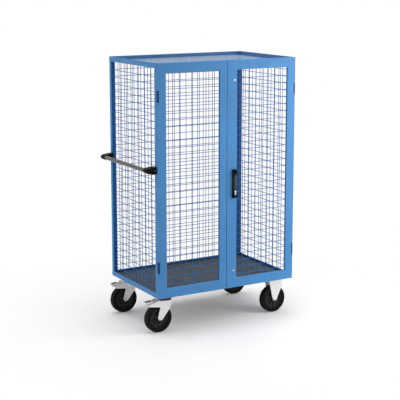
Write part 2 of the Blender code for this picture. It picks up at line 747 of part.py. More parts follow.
def build_handle(plastic, tube_finish):
    """The push handle: two end brackets on the left posts, and the tube between them."""
    foot, height = LEFT - SEAT_GAP, BRACKET_FOOT_HEIGHT / 2
    shoulder, shoulder_height = LEFT - BRACKET_SHOULDER, BRACKET_SHOULDER_HEIGHT / 2
    outline = [
        (foot, HANDLE_Z - height),
        (foot, HANDLE_Z + height),
        (shoulder, HANDLE_Z + shoulder_height),
        *arc((HANDLE_X, HANDLE_Z), BRACKET_NOSE_RADIUS, 90, 270, NOSE_STEPS),
        (shoulder, HANDLE_Z - shoulder_height),
    ]
    for depth, outer, inward in (("front", FRAME_FRONT, 1), ("rear", REAR, -1)):
        inner = outer + inward * BRACKET_WIDTH
        bore = rod((HANDLE_X, HANDLE_Z), HANDLE_TUBE_RADIUS + HANDLE_SOCKET_CLEARANCE, "Y",
                   inner - inward * HANDLE_SOCKET, inner + inward * OVERRUN, TUBE_SIDES)
        wall_face = LEFT - BRACKET_FOOT_WALL
        ends = sorted((outer - inward * OVERRUN, outer + inward * POCKET_DEPTH))
        pocket = box(
            (wall_face - POCKET_LENGTH, ends[0], HANDLE_Z - POCKET_HEIGHT / 2),
            (wall_face, ends[1], HANDLE_Z + POCKET_HEIGHT / 2),
        )
        piece(f"handle_bracket_{depth}", prism(outline, "Y", outer, inner), plastic, cut=[bore, pocket])
    inset = BRACKET_WIDTH - HANDLE_SOCKET + SEAT_GAP
    tube_ends = (FRAME_FRONT + inset, REAR - inset)
    hollow = rod((HANDLE_X, HANDLE_Z), HANDLE_TUBE_RADIUS - HANDLE_TUBE_WALL, "Y", tube_ends[0] - OVERRUN,
                 tube_ends[1] + OVERRUN, TUBE_SIDES)
    tube = piece("handle_tube", rod((HANDLE_X, HANDLE_Z), HANDLE_TUBE_RADIUS, "Y", *tube_ends, TUBE_SIDES),
                 tube_finish, cut=[hollow])
    smooth(tube)


def build_wheel(name, x, y, rubber, hub_finish):
    """A wheel: a solid tyre on a webbed hub. Its flats lie at the wheel's radius, and one is on the floor."""
    flat = 1 / math.cos(math.pi / WHEEL_SIDES)
    turn = math.pi / 2 + math.pi / WHEEL_SIDES
    half, tread, bead = TYRE_WIDTH / 2, TREAD_WIDTH / 2, TYRE_BEAD_WIDTH / 2
    tyre_half = [
        (bead, TYRE_INNER_RADIUS),
        (half, TYRE_INNER_RADIUS + TREAD_CROWN),
        (half, WHEEL_RADIUS - TREAD_CROWN),
        (tread, WHEEL_RADIUS),
    ]
    hub_outer = TYRE_INNER_RADIUS - SEAT_GAP
    hub_half = [
        (HUB_WIDTH / 2, AXLE_RADIUS + SHAFT_CLEARANCE),
        (HUB_WIDTH / 2, HUB_BOSS_RADIUS - HUB_BOSS_TAPER),
        (HUB_WEB / 2, HUB_BOSS_RADIUS),
        (HUB_WEB / 2, hub_outer - HUB_RIM_DEPTH),
        (HUB_RIM_WIDTH / 2, hub_outer),
    ]
    centre = (x, y, WHEEL_RADIUS)
    for part, half_profile, material in (("tyre", tyre_half, rubber), ("hub", hub_half, hub_finish)):
        profile = [(along, radius * flat) for along, radius in half_profile]
        profile += [(-along, radius) for along, radius in reversed(profile)]
        wheel = piece(f"{part}_{name}", turned(profile, centre, WHEEL_SIDES, turn), material, origin=centre)
        smooth(wheel)


def build_axle(name, x, y, steel):
    """An axle bolt with a head at each end, outside the fork's cheeks."""
    head = CHEEK_OUTER + SEAT_GAP
    tip = head + AXLE_HEAD_THICKNESS
    middle = (head + tip) / 2
    shaft = rod((x, WHEEL_RADIUS), AXLE_RADIUS, "Y", y - middle, y + middle, ROUND_SIDES)
    ends = []
    for start, end in ((head, tip), (-tip, -head)):
        ends.append(rod((x, WHEEL_RADIUS), AXLE_HEAD_RADIUS, "Y", y + start, y + end, HEX_SIDES))
    piece(name, shaft, steel, origin=(x, y, WHEEL_RADIUS), add=ends)


def cheeks(outline, y):
    """The two side plates of a fork."""
    inner = FORK_INNER_WIDTH / 2
    return [prism(outline, "Y", y + inner, y + CHEEK_OUTER), prism(outline, "Y", y - CHEEK_OUTER, y - inner)]


def axle_hole(x, y):
    """The cutter for the axle's holes in a fork."""
    return rod((x, WHEEL_RADIUS), AXLE_RADIUS + SEAT_GAP, "Y", y - 2 * CHEEK_OUTER, y + 2 * CHEEK_OUTER,
               ROUND_SIDES)


def caster_plate(x, y):
    """The flat plate that bolts a caster to its beam."""
    half_length, half_width = CASTER_PLATE_LENGTH / 2, CASTER_PLATE_WIDTH / 2
    return box(
        (x - half_length, y - half_width, CASTER_HEIGHT - CASTER_PLATE),
        (x + half_length, y + half_width, CASTER_HEIGHT),
    )


def build_swivel_caster(depth, zinc, steel, rubber, hub_finish, pedal_finish):
    """A swivel caster: top plate with its race and kingpin, fork with hood, wheel and brake pedal."""
    x, y, wheel_x = SWIVEL_X, CASTER_Y[depth], SWIVEL_WHEEL_X
    race = rod((x, y), RACE_RADIUS, "Z", BEARING_TOP + SEAT_GAP, CASTER_HEIGHT - CASTER_PLATE / 2, BEARING_SIDES)
    kingpin = rod((x, y), KINGPIN_RADIUS, "Z", CROWN_TOP - FORK_SHEET, CASTER_HEIGHT - CASTER_PLATE / 2,
                  ROUND_SIDES)
    piece(f"swivel_plate_{depth}", caster_plate(x, y), zinc, add=[race, kingpin])

    pivot_x, pivot_z = x - PEDAL_PIVOT_REACH, CROWN_TOP + PEDAL_PIVOT_RISE
    outline = [
        (x - HOOD_REACH, CROWN_TOP - HOOD_TIP_DROP),
        (x - HOOD_HEEL_REACH, CROWN_TOP - HOOD_HEEL_DROP),
        (x - LEG_TOP_REACH, CROWN_TOP - LEG_TOP_DROP),
        (wheel_x - AXLE_LAND, WHEEL_RADIUS + AXLE_LAND_BELOW),
        (wheel_x - AXLE_LAND / 2, WHEEL_RADIUS - AXLE_LAND_BELOW),
        (wheel_x + AXLE_LAND, WHEEL_RADIUS - AXLE_LAND_BELOW),
        (x + LEG_KNEE_REACH, CROWN_TOP - LEG_KNEE_DROP),
        (x + CROWN_REACH_FRONT, CROWN_TOP),
        (pivot_x + EAR_FOOT, CROWN_TOP),
        (pivot_x + EAR_HALF, CROWN_TOP + EAR_RISE),
        (pivot_x - EAR_HALF, CROWN_TOP + EAR_RISE),
        (x - HOOD_SHOULDER_REACH, CROWN_TOP),
    ]
    crown = box(
        (x - CROWN_REACH_REAR, y - CHEEK_OUTER, CROWN_TOP - FORK_SHEET),
        (x + CROWN_REACH_FRONT, y + CHEEK_OUTER, CROWN_TOP),
    )
    bearing = rod((x, y), BEARING_RADIUS, "Z", CROWN_TOP - FORK_SHEET / 2, BEARING_TOP, BEARING_SIDES)
    pin_hole = rod((pivot_x, pivot_z), PEDAL_PIN_RADIUS + SHAFT_CLEARANCE, "Y", y - 2 * CHEEK_OUTER,
                   y + 2 * CHEEK_OUTER, ROUND_SIDES)
    king_hole = rod((x, y), KINGPIN_RADIUS + SHAFT_CLEARANCE, "Z", CROWN_TOP - FORK_SHEET - OVERRUN,
                    BEARING_TOP + OVERRUN, ROUND_SIDES)
    piece(
        f"swivel_fork_{depth}",
        crown,
        zinc,
        origin=(x, y, BEARING_TOP),
        add=[*cheeks(outline, y), bearing],
        cut=[king_hole, axle_hole(wheel_x, y), pin_hole],
    )
    build_axle(f"swivel_axle_{depth}", wheel_x, y, steel)
    build_wheel(f"swivel_{depth}", wheel_x, y, rubber, hub_finish)

    half = PEDAL_THICKNESS / 2
    tip_x, tip_z = x - PEDAL_REACH, pivot_z - PEDAL_FALL
    tread_x = x - PEDAL_TREAD_REACH
    tread_z = pivot_z - PEDAL_FALL * (pivot_x - tread_x) / (pivot_x - tip_x) + half
    pedal_outline = [
        (pivot_x + PEDAL_HEEL, pivot_z - half),
        (pivot_x + PEDAL_HEEL, pivot_z + half),
        (tread_x, tread_z),
        (tread_x, tread_z + PEDAL_TREAD_RISE),
        (tip_x, tip_z + half + PEDAL_TREAD_RISE),
        (tip_x, tip_z - half),
    ]
    pin = rod((pivot_x, pivot_z), PEDAL_PIN_RADIUS, "Y", y - CHEEK_OUTER, y + CHEEK_OUTER, ROUND_SIDES)
    piece(
        f"brake_pedal_{depth}",
        prism(pedal_outline, "Y", y - PEDAL_WIDTH / 2, y + PEDAL_WIDTH / 2),
        pedal_finish,
        origin=(pivot_x, y, pivot_z),
        add=[pin],
    )


def build_fixed_caster(depth, zinc, steel, rubber, hub_finish):
    """A fixed caster: a pressed fork with its plate, an axle bolt and a wheel."""
    x, y = FIXED_X, CASTER_Y[depth]
    plate_middle = CASTER_HEIGHT - CASTER_PLATE / 2
    outline = [
        (x - FIXED_REACH_LEFT, plate_middle),
        (x - AXLE_LAND, WHEEL_RADIUS + AXLE_LAND_BELOW),
        (x - AXLE_LAND / 2, WHEEL_RADIUS - AXLE_LAND_BELOW),
        (x + AXLE_LAND, WHEEL_RADIUS - AXLE_LAND_BELOW),
        (x + FIXED_REACH_RIGHT, CASTER_HEIGHT - FIXED_KNEE_DROP),
        (x + FIXED_REACH_RIGHT, plate_middle),
    ]
    piece(
        f"fixed_fork_{depth}",
        caster_plate(x, y),
        zinc,
        add=cheeks(outline, y),
        cut=[axle_hole(x, y)],
    )
    build_axle(f"fixed_axle_{depth}", x, y, steel)
    build_wheel(f"fixed_{depth}", x, y, rubber, hub_finish)


def build_cart():
    """The whole cart, as it stands with its doors shut."""
    paint = finish("blue_powder_coat", (0.09, 0.33, 0.66), 0.45, 0)
    wire = finish("blue_mesh_wire", (0.07, 0.25, 0.55), 0.45, 0)
    board = finish("anthracite_board", (0.07, 0.07, 0.075), 0.7, 0)
    plastic = finish("black_plastic", (0.02, 0.02, 0.02), 0.5, 0)
    zinc = finish("zinc_plate", (0.72, 0.73, 0.75), 0.35, 0.9)
    steel = finish("bright_steel", (0.6, 0.6, 0.6), 0.3, 1)
    tube_finish = finish("grey_tube", (0.35, 0.36, 0.37), 0.4, 0.6)
    rubber = finish("black_rubber", (0.02, 0.02, 0.02), 0.8, 0)
    hub_finish = finish("dark_hub", (0.04, 0.04, 0.045), 0.55, 0)

    build_frame(paint, board, wire)
    finishes = (paint, wire, paint)
    left_axis = LEFT + HINGE_AXIS_INSET
    right_axis = RIGHT - HINGE_AXIS_INSET
    build_door("left", LEFT, LEFT + LEFT_DOOR_WIDTH, LEFT + OUTER_STILE, left_axis, 1, finishes)
    build_door(
        "right",
        LEFT + LEFT_DOOR_WIDTH + DOOR_MIDDLE_GAP,
        RIGHT,
        RIGHT - OUTER_STILE - DOOR_OPENING,
        right_axis,
        -1,
        finishes,
        cut=lock_holes(),
    )
    build_lock(plastic, zinc)
    build_handle(plastic, tube_finish)
    for depth in CASTER_Y:
        build_swivel_caster(depth, zinc, steel, rubber, hub_finish, zinc)
        build_fixed_caster(depth, zinc, steel, rubber, hub_finish)


clear_scene()
build_cart()
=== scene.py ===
# %% [markdown]
# # A wire-mesh cabinet cart
# The real object is a tall cabinet of blue powder-coated steel on four casters. Its walls, its roof and its
# two doors are welded wire mesh, so almost everything behind the doors shows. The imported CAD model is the
# frame: it says where each piece is and how it moves. Each cell adds one finish or one piece to it.

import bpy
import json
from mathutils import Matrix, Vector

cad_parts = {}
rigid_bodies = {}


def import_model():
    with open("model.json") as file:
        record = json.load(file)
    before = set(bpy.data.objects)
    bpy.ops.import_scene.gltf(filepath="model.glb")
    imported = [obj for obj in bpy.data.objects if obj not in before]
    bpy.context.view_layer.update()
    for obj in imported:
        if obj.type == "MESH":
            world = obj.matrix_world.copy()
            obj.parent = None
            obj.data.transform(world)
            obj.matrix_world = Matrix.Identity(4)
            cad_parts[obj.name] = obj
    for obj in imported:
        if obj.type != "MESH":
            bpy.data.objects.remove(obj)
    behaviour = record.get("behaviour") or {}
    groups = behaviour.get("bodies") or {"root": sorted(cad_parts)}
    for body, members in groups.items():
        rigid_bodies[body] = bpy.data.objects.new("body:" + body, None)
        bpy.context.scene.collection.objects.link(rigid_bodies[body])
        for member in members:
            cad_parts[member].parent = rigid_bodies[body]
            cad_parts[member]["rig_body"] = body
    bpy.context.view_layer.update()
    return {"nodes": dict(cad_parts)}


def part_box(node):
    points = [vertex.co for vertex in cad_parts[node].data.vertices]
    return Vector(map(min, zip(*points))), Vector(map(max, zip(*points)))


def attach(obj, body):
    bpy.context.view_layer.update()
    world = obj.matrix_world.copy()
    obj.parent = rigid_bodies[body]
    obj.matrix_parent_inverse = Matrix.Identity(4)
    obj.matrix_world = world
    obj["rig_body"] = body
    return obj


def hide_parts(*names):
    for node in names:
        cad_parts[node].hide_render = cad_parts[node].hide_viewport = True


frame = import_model()

# %% [markdown]
# The other modules come next. Lengths are in metres, and a short name for a millimetre keeps the small
# ones readable.

# %% Modules and units
import json
import math

import bmesh
import bpy
import numpy as np

MM = 0.001
TURN = 2 * math.pi


def corners(node):
    """Lowest and highest corner of a CAD node, as two numpy rows."""
    low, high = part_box(node)
    return np.array(low), np.array(high)


def middle(node):
    """The middle of a CAD node's box: half the sum of its corners."""
    low, high = corners(node)
    return (low + high) / 2


body_low = corners("post_front_left")[0]
body_high = corners("post_rear_right")[1]
print("cabinet width and depth", np.round((body_high - body_low)[:2], 4))

# %% [markdown]
# ## The camera
# The photograph is taken from the front left, from a little above the roof, through a long lens. A long lens
# far away keeps the cabinet's uprights almost parallel. The numbers come from fitting edges of the cart. The
# frame is shifted down a little, so that the camera tilts less and the uprights lean less.

# %% Camera
PHOTO_WIDTH = 400
FRAME_SHIFT = -20 / PHOTO_WIDTH
SENSOR = 36
LENS = 99.527
CAMERA_PLACE = (-3.9481, -6.8278, 2.4693)
CAMERA_YAW = math.radians(30.143)
CAMERA_PITCH = math.radians(10.575)
camera = bpy.data.objects.new("camera", bpy.data.cameras.new("camera"))
camera.data.sensor_width = SENSOR
camera.data.lens = LENS
camera.data.shift_y = FRAME_SHIFT
camera.location = CAMERA_PLACE
camera.rotation_euler = (math.pi / 2 - CAMERA_PITCH, 0, -CAMERA_YAW)
bpy.context.collection.objects.link(camera)
bpy.context.scene.camera = camera
print("camera is", round(float(np.linalg.norm(CAMERA_PLACE)), 2), "m from the origin")

# %% [markdown]
# ## Shapes as arrays
# Every new piece is a skin over rings of points: a tube is two rings, a turned part is one ring for each
# point of its profile, and a moulded part is a stack of changing outlines. So one small set of helpers
# makes them all. numpy computes whole rings at once, which is short to write and quick to run.

# %% Skins over rings
PLANES = {"X": (1, 2), "Y": (0, 2), "Z": (0, 1)}


def loft(rings, closed=False):
    """A skin over m rings of n corners, from an m x n x 3 array.

    Quad (i, j) joins corners j and j + 1 of ring i with those of ring i + 1. A closed skin also joins the
    last ring to the first, and an open one gets a flat cap at each end.
    """
    m, n = rings.shape[:2]
    index = np.arange(m * n).reshape(m, n)
    rows = np.vstack([index, index[:1]]) if closed else index
    beside = np.roll(rows, -1, axis=1)
    quads = np.stack([rows[:-1], beside[:-1], beside[1:], rows[1:]], axis=-1).reshape(-1, 4)
    faces = [quads] if closed else [quads, index[:1], index[-1:]]
    return rings.reshape(-1, 3), faces


def lay(outline, axis, levels, centre=(0, 0)):
    """Copies of a flat outline, square to an axis, one at each level.

    The outline's two numbers are (Y, Z), (X, Z) or (X, Y) for the axis X, Y or Z.
    """
    levels = np.atleast_1d(levels)
    rings = np.empty((len(levels), len(outline), 3))
    a, b = PLANES[axis]
    rings[..., "XYZ".index(axis)] = levels[:, None]
    rings[..., a] = outline[:, 0] + centre[0]
    rings[..., b] = outline[:, 1] + centre[1]
    return rings


print("an open skin over 2 rings of 8 has", len(loft(np.zeros((2, 8, 3)))[1][0]), "sides and 2 caps")

# %% [markdown]
# Barrels, wheels, bolts and tubes are turned, as on a real lathe: a profile runs along the axis, and each of
# its points becomes a ring. Posts need a rounded outline, and the hinges' leaves only a plain block.

# %% Turned parts, outlines and blocks
def lathe(profile, axis, centre, sides):
    """A profile of (along, radius) points turned about an axis through centre.

    Each point becomes a ring: centre + along on the axis, and radius times (cos t, sin t) across it. A
    profile that starts on the axis is open and ends on it, and any other closes on itself.
    """
    profile = np.asarray(profile, float)
    t = np.arange(sides) * TURN / sides
    a, b = PLANES[axis]
    rings = np.zeros((len(profile), sides, 3)) + np.asarray(centre, float)
    rings[..., "XYZ".index(axis)] += profile[:, :1]
    rings[..., a] += profile[:, 1:] * np.cos(t)
    rings[..., b] += profile[:, 1:] * np.sin(t)
    return loft(rings, closed=profile[0, 1] > 0)


def rounded_rectangle(width, height, radius, steps=4):
    """Four quarter circles whose centres are the corners of a rectangle smaller by the radius."""
    t = np.linspace(0, math.pi / 2, steps + 1)
    starts = np.arange(4)[:, None] * math.pi / 2
    signs = np.array([(1, 1), (-1, 1), (-1, -1), (1, -1)])
    centres = signs * (width / 2 - radius, height / 2 - radius)
    across = centres[:, :1] + radius * np.cos(starts + t)
    along = centres[:, 1:] + radius * np.sin(starts + t)
    return np.stack([across.ravel(), along.ravel()], axis=1)


def block(low, high):
    """A rectangular block between two corners, as two rings."""
    low, high = np.asarray(low, float), np.asarray(high, float)
    outline = np.array([(low[0], low[1]), (high[0], low[1]), (high[0], high[1]), (low[0], high[1])])
    return loft(lay(outline, "Z", (low[2], high[2])))


print("a rounded rectangle has", len(rounded_rectangle(1, 1, 0.1)), "corners")

# %% [markdown]
# A shell becomes part of an object only once its doubles are merged and its faces point outwards. Round
# shells are shaded smooth with sharp edges kept, and pressed or moulded ones get a small live bevel, because
# a real edge always has a radius that catches the light.

# %% From shells to meshes
MERGE = 1e-6
FLAT = math.radians(0.5)
SHARP = math.radians(35)


def make_mesh(name, shells):
    """One mesh from closed shells. The corner numbers of each shell go up by the points before it."""
    points = np.concatenate([places for places, _ in shells])
    starts = np.cumsum([0] + [len(places) for places, _ in shells[:-1]])
    blocks = [rows + start for (_, faces), start in zip(shells, starts) for rows in faces]
    sizes = np.concatenate([np.full(len(rows), rows.shape[1]) for rows in blocks])
    mesh = bpy.data.meshes.new(name)
    mesh.vertices.add(len(points))
    mesh.vertices.foreach_set("co", points.ravel())
    mesh.loops.add(int(sizes.sum()))
    mesh.loops.foreach_set("vertex_index", np.concatenate([rows.ravel() for rows in blocks]))
    mesh.polygons.add(len(sizes))
    mesh.polygons.foreach_set("loop_start", np.cumsum(sizes) - sizes)
    mesh.update(calc_edges=True)
    return mesh


def tidy_mesh(mesh, dissolve=False):
    """Merges doubles, joins flat neighbours if asked, and turns the faces outwards."""
    bm = bmesh.new()
    bm.from_mesh(mesh)
    bmesh.ops.remove_doubles(bm, verts=bm.verts, dist=MERGE)
    if dissolve:
        bmesh.ops.dissolve_limit(bm, angle_limit=FLAT, verts=bm.verts, edges=bm.edges)
    bmesh.ops.recalc_face_normals(bm, faces=bm.faces)
    bm.to_mesh(mesh)
    bm.free()
    for left_over in ("custom_normal", "sharp_face", "sharp_edge"):
        if left_over in mesh.attributes:
            mesh.attributes.remove(mesh.attributes[left_over])


print("an edge is sharp from", round(math.degrees(SHARP)), "degrees")

# %% [markdown]
# Each object rides on a body, so that it moves with the joints, and hides the CAD nodes that it stands for.
# A pressed or welded part whose CAD shape is right needs no new mesh: a copy with softened edges is enough.

# %% From meshes to pieces
def soften(obj, width, segments=2):
    """A live bevel on every edge sharper than 35 degrees, with the flat faces kept flat in shading."""
    bevel = obj.modifiers.new("soft_edges", "BEVEL")
    bevel.width = width
    bevel.segments = segments
    bevel.limit_method = "ANGLE"
    bevel.angle_limit = SHARP
    bevel.harden_normals = True
    bevel.use_clamp_overlap = True


def enter(obj, body, material, slot, replaced):
    """Links an object, gives it its material and body, and hides the CAD nodes that it stands for."""
    obj.data.materials.clear()
    obj.data.materials.append(material)
    bpy.context.collection.objects.link(obj)
    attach(obj, body)
    if replaced:
        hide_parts(*replaced)
    return obj


def piece(name, shells, body, finish, replaced=(), edge=0, segments=2):
    """A new piece from shells. finish is (material, slot), and edge is the width of its bevel, if any."""
    mesh = make_mesh(name, shells)
    tidy_mesh(mesh)
    mesh.shade_smooth()
    obj = enter(bpy.data.objects.new(name, mesh), body, *finish, replaced)
    if edge:
        soften(obj, edge, segments)
    else:
        mesh.set_sharp_from_angle(angle=SHARP)
    return obj


def body_of(node):
    """The body that a CAD node rides on."""
    return frame["nodes"][node]["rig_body"]


def edged(node, finish, width, segments=2):
    """A copy of a CAD node with merged faces and bevelled edges, which stands for that node."""
    mesh = frame["nodes"][node].data.copy()
    tidy_mesh(mesh, dissolve=True)
    mesh.shade_smooth()
    obj = enter(bpy.data.objects.new(f"{node}_edged", mesh), body_of(node), *finish, (node,))
    soften(obj, width, segments)
    return obj


# %% [markdown]
# ## Finishes
# Each finish is a small tree of nodes on the piece's own coordinates, so the grain has the same size on
# every piece. The helpers only save typing: one adds a node, one a noise, one a ramp, and so on.

# %% Node helpers
def plug(tree, socket, value):
    """Links an output to a socket, or sets a plain value there. A colour of three numbers gets its alpha."""
    if isinstance(value, bpy.types.NodeSocket):
        tree.links.new(value, socket)
    elif socket.type == "RGBA" and len(value) == 3:
        socket.default_value = (*value, 1)
    else:
        socket.default_value = value


def connect(tree, node, **sockets):
    """Plugs values into a node. A socket is given by its name, with _ for a space."""
    for name, value in sockets.items():
        plug(tree, node.inputs[name.replace("_", " ")], value)


def add_node(tree, kind, settings=None, **sockets):
    """Adds a shader node with its settings, and plugs in its sockets."""
    made = tree.nodes.new(kind)
    for key, value in (settings or {}).items():
        setattr(made, key, value)
    connect(tree, made, **sockets)
    return made


def new_finish(name):
    """A material with its tree, its shader and its Object coordinates."""
    material = bpy.data.materials.new(name)
    material.use_nodes = True
    tree = material.node_tree
    place = add_node(tree, "ShaderNodeTexCoord").outputs["Object"]
    return material, tree, tree.nodes["Principled BSDF"], place


def linear(*levels):
    """A colour given by its 0 to 255 screen levels, as the linear numbers that a shader takes."""
    share = np.array(levels) / 255
    made = np.where(share <= 0.04045, share / 12.92, ((share + 0.055) / 1.055) ** 2.4)
    return tuple(float(v) for v in made)


print("the middle screen level 128 is", round(linear(128)[0], 3), "as a linear number")

# %% [markdown]
# A pattern is a noise, a ramp that says how much of it counts, and a blend of two colours by that. The bump
# node turns the same noises into relief.

# %% Pattern helpers
def noise(tree, place, scale, detail=2.0, roughness=0.5):
    """Noise with so many lumps to the metre."""
    made = add_node(tree, "ShaderNodeTexNoise", Vector=place, Scale=scale, Detail=detail, Roughness=roughness)
    return made.outputs["Fac"]


def ramp(tree, factor, *stops):
    """A ramp from a factor to values. Each stop is (position, value)."""
    made = add_node(tree, "ShaderNodeValToRGB", Fac=factor)
    points = made.color_ramp.elements
    for point, (position, value) in zip(points, stops):
        point.position = position
        point.color = (value, value, value, 1)
    return made.outputs["Color"]


def bump(tree, height, strength, distance):
    """A bump from a height between 0 and 1, for a distance in metres."""
    return add_node(
        tree, "ShaderNodeBump", Height=height, Strength=strength, Distance=distance
    ).outputs["Normal"]


def blend(tree, factor, first, second):
    """A mix of two colours, which may be outputs or colours: all of the second where the factor is 1."""
    made = add_node(tree, "ShaderNodeMix", {"data_type": "RGBA"})
    for socket, value in zip((made.inputs[0], made.inputs[6], made.inputs[7]), (factor, first, second)):
        plug(tree, socket, value)
    return made.outputs[2]


def combine(tree, operation, first, second, kind="ShaderNodeMath"):
    """One operation on two outputs, such as their product or the larger of them."""
    made = add_node(tree, kind, {"operation": operation})
    tree.links.new(first, made.inputs[0])
    tree.links.new(second, made.inputs[1])
    return made.outputs["Value"]


print("pattern helpers:", ", ".join(helper.__name__ for helper in (noise, ramp, bump, blend, combine)))

# %% [markdown]
# ## Paint
# The photograph shows the faces that look into the cabinet in a much deeper blue than the outer ones, deeper
# than soft studio light makes them. The real paint is surely one blue, so this is a rule to match the
# photograph's shading: inward faces have a second colour, and an attribute of the mesh says which they are.

# %% Faces that look inwards
INWARD = 0.28


def mark_inward(mesh):
    """Gives each face the number 1 where it looks towards the cabinet's upright axis, and 0 elsewhere.

    It looks there if minus the product of its direction with the level direction from the axis to its
    middle is over INWARD.
    """
    count = len(mesh.polygons)
    directions = np.empty(count * 3)
    middles = np.empty(count * 3)
    mesh.polygons.foreach_get("normal", directions)
    mesh.polygons.foreach_get("center", middles)
    away = middles.reshape(-1, 3)[:, :2] - ((body_low + body_high) / 2)[:2]
    away /= np.linalg.norm(away, axis=1, keepdims=True)
    inward = -(directions.reshape(-1, 3)[:, :2] * away).sum(axis=1) > INWARD
    marks = mesh.attributes.new("inward", "FLOAT", "FACE")
    marks.data.foreach_set("value", inward.astype(np.float32))


print("an upright face looks inwards up to", round(math.degrees(math.acos(INWARD))), "degrees off the axis")

# %% [markdown]
# The paint is a powder coat. Powder melts into a skin with a fine orange-peel surface, which is never quite
# even: it is a shade lighter where it is thin over an edge, and it scuffs there first. The edge mask compares
# the surface's direction with the direction that a small bevel would have, and noise breaks it up.

# %% Powder coat
EDGE_REACH = 1.6 * MM


def scuffs(tree, place):
    """Patches along edges: where the rounded and the true direction disagree, times a broken noise."""
    bent = add_node(tree, "ShaderNodeBevel", {"samples": 4}, Radius=EDGE_REACH).outputs["Normal"]
    flat = add_node(tree, "ShaderNodeNewGeometry").outputs["Normal"]
    agree = combine(tree, "DOT_PRODUCT", bent, flat, "ShaderNodeVectorMath")
    edge = ramp(tree, agree, (0.86, 1), (0.985, 0))
    patchy = ramp(tree, noise(tree, place, 55, 5, 0.65), (0.42, 0), (0.72, 1))
    return combine(tree, "MULTIPLY", edge, patchy)


def powder_coat(name, colour, worn, peel, inside=None, level=0.3):
    """A powder coat: slow changes of shade, orange peel of a height, and scuffed edges. inside is the colour
    of the inward faces, where it differs, which is painted shade, and level is the strength of the mirror-like
    part."""
    material, tree, shader, place = new_finish(name)
    shade = noise(tree, place, 2.5, 3)
    grain = noise(tree, place, 380, 2)
    darker = tuple(v * 0.93 for v in colour)
    lighter = tuple(min(1, v * 1.06) for v in colour)
    skin = blend(tree, ramp(tree, shade, (0.35, 0), (0.65, 1)), darker, lighter)
    if inside:
        inward = add_node(tree, "ShaderNodeAttribute", {"attribute_name": "inward"}).outputs["Fac"]
        skin = blend(tree, inward, skin, inside)
    connect(
        tree,
        shader,
        Base_Color=blend(tree, scuffs(tree, place), skin, worn),
        Roughness=ramp(tree, noise(tree, place, 14, 4), (0.3, 0.42), (0.7, 0.58)),
        Specular_IOR_Level=level,
        Normal=bump(tree, grain, 0.35, peel),
    )
    return material


print("scuffs reach", round(EDGE_REACH / MM, 1), "mm from an edge")

# %% [markdown]
# Frame and doors have one blue, and only their inward faces differ, where the colour is painted shade: deep
# blue on the posts, nearly the board's grey on the base, where the photograph has a thin dark line, and a
# middle blue on the rim. The hinges show darker than the doors, so they are painted a darker blue, which is
# painted shade too.

# %% Paints
PEEL = 0.10 * MM
BLUE = linear(73, 141, 202)
WORN_BLUE = linear(135, 172, 208)
# The deeper colours for inward faces on the posts, base and rim are painted shade.
POST_SHADE_BLUE = linear(6, 76, 138)
SHADED_BLUE = linear(34, 52, 74)
RIM_SHADE_BLUE = linear(72, 118, 168)
# The hinges' darker blue and their darker worn edge colour are painted shade.
HINGE_SHADE_BLUE = linear(10, 60, 112)
WORN_HINGE_IN_SHADE = linear(60, 100, 145)


def cabinet_paint(name, inside=None):
    """The cabinet's blue with its slot. inside is the colour of its inward faces, which is painted shade."""
    return powder_coat(name, BLUE, WORN_BLUE, PEEL, inside), "blue_paint"


paint = cabinet_paint("blue_paint")
post_paint_shaded_inside = cabinet_paint("post_paint_shaded_inside", POST_SHADE_BLUE)
base_paint_shaded_inside = cabinet_paint("base_paint_shaded_inside", SHADED_BLUE)
rim_paint_shaded_inside = cabinet_paint("rim_paint_shaded_inside", RIM_SHADE_BLUE)
hinge_paint_shaded = (powder_coat("hinge_paint_shaded", HINGE_SHADE_BLUE, WORN_HINGE_IN_SHADE, PEEL), "blue_paint")
print("paints", [finish[0].name for finish in (paint, post_paint_shaded_inside, base_paint_shaded_inside, rim_paint_shaded_inside, hinge_paint_shaded)])

# %% [markdown]
# The wires have the same coat. In the photograph's frame a wire covers only part of a pixel, so over white it
# mixes paler than the photograph shows it, and its blue is written deeper and less glossy. Their faces that
# look into the cabinet are painted a deeper blue still, as painted shade. The roof's wires are seen from above
# at a low angle, where they look pale, so theirs is a pale blue: a painted highlight for the sheen on their
# tops.

# %% Wire coats
WIRE_PEEL = 0.05 * MM
WIRE_BLUE = linear(0, 112, 190)
# The deeper wire blue on the inward faces is painted shade.
WIRE_SHADE_BLUE = linear(0, 82, 160)
WORN_WIRE = linear(60, 124, 184)
# The roof wires' pale blue and its pale worn colour are a painted highlight for the sheen on their tops.
ROOF_SHEEN_BLUE = linear(154, 178, 207)
WORN_ROOF_SHEEN = linear(172, 196, 222)
wire_coat_shaded_inside = (powder_coat("mesh_wire", WIRE_BLUE, WORN_WIRE, WIRE_PEEL, WIRE_SHADE_BLUE, 0.12), "mesh_wire")
roof_coat_painted_sheen = (powder_coat("roof_wire_sheen", ROOF_SHEEN_BLUE, WORN_ROOF_SHEEN, WIRE_PEEL), "mesh_wire")
print("wire coats", [finish[0].name for finish in (wire_coat_shaded_inside, roof_coat_painted_sheen)])

# %% [markdown]
# The casters are zinc plated. Zinc is a soft grey-white metal with a faint mottle, and passivation leaves
# it slightly uneven in gloss. The screws and the lock's bright parts are plain steel, which is glossier, and
# the handle's tube is a dark grey.

# %% Metals
def metal(name, dark, light, gloss, mottle, metallic):
    """A plated metal: a mottle between two colours, and a roughness that follows another noise."""
    material, tree, shader, place = new_finish(name)
    spots = noise(tree, place, mottle, 5, 0.6)
    streaks = noise(tree, place, mottle * 4, 3)
    connect(
        tree,
        shader,
        Base_Color=blend(tree, ramp(tree, spots, (0.35, 0), (0.65, 1)), dark, light),
        Metallic=metallic,
        Roughness=ramp(tree, streaks, (0.3, gloss[0]), (0.7, gloss[1])),
        Normal=bump(tree, streaks, 0.2, 0.03 * MM),
    )
    return material


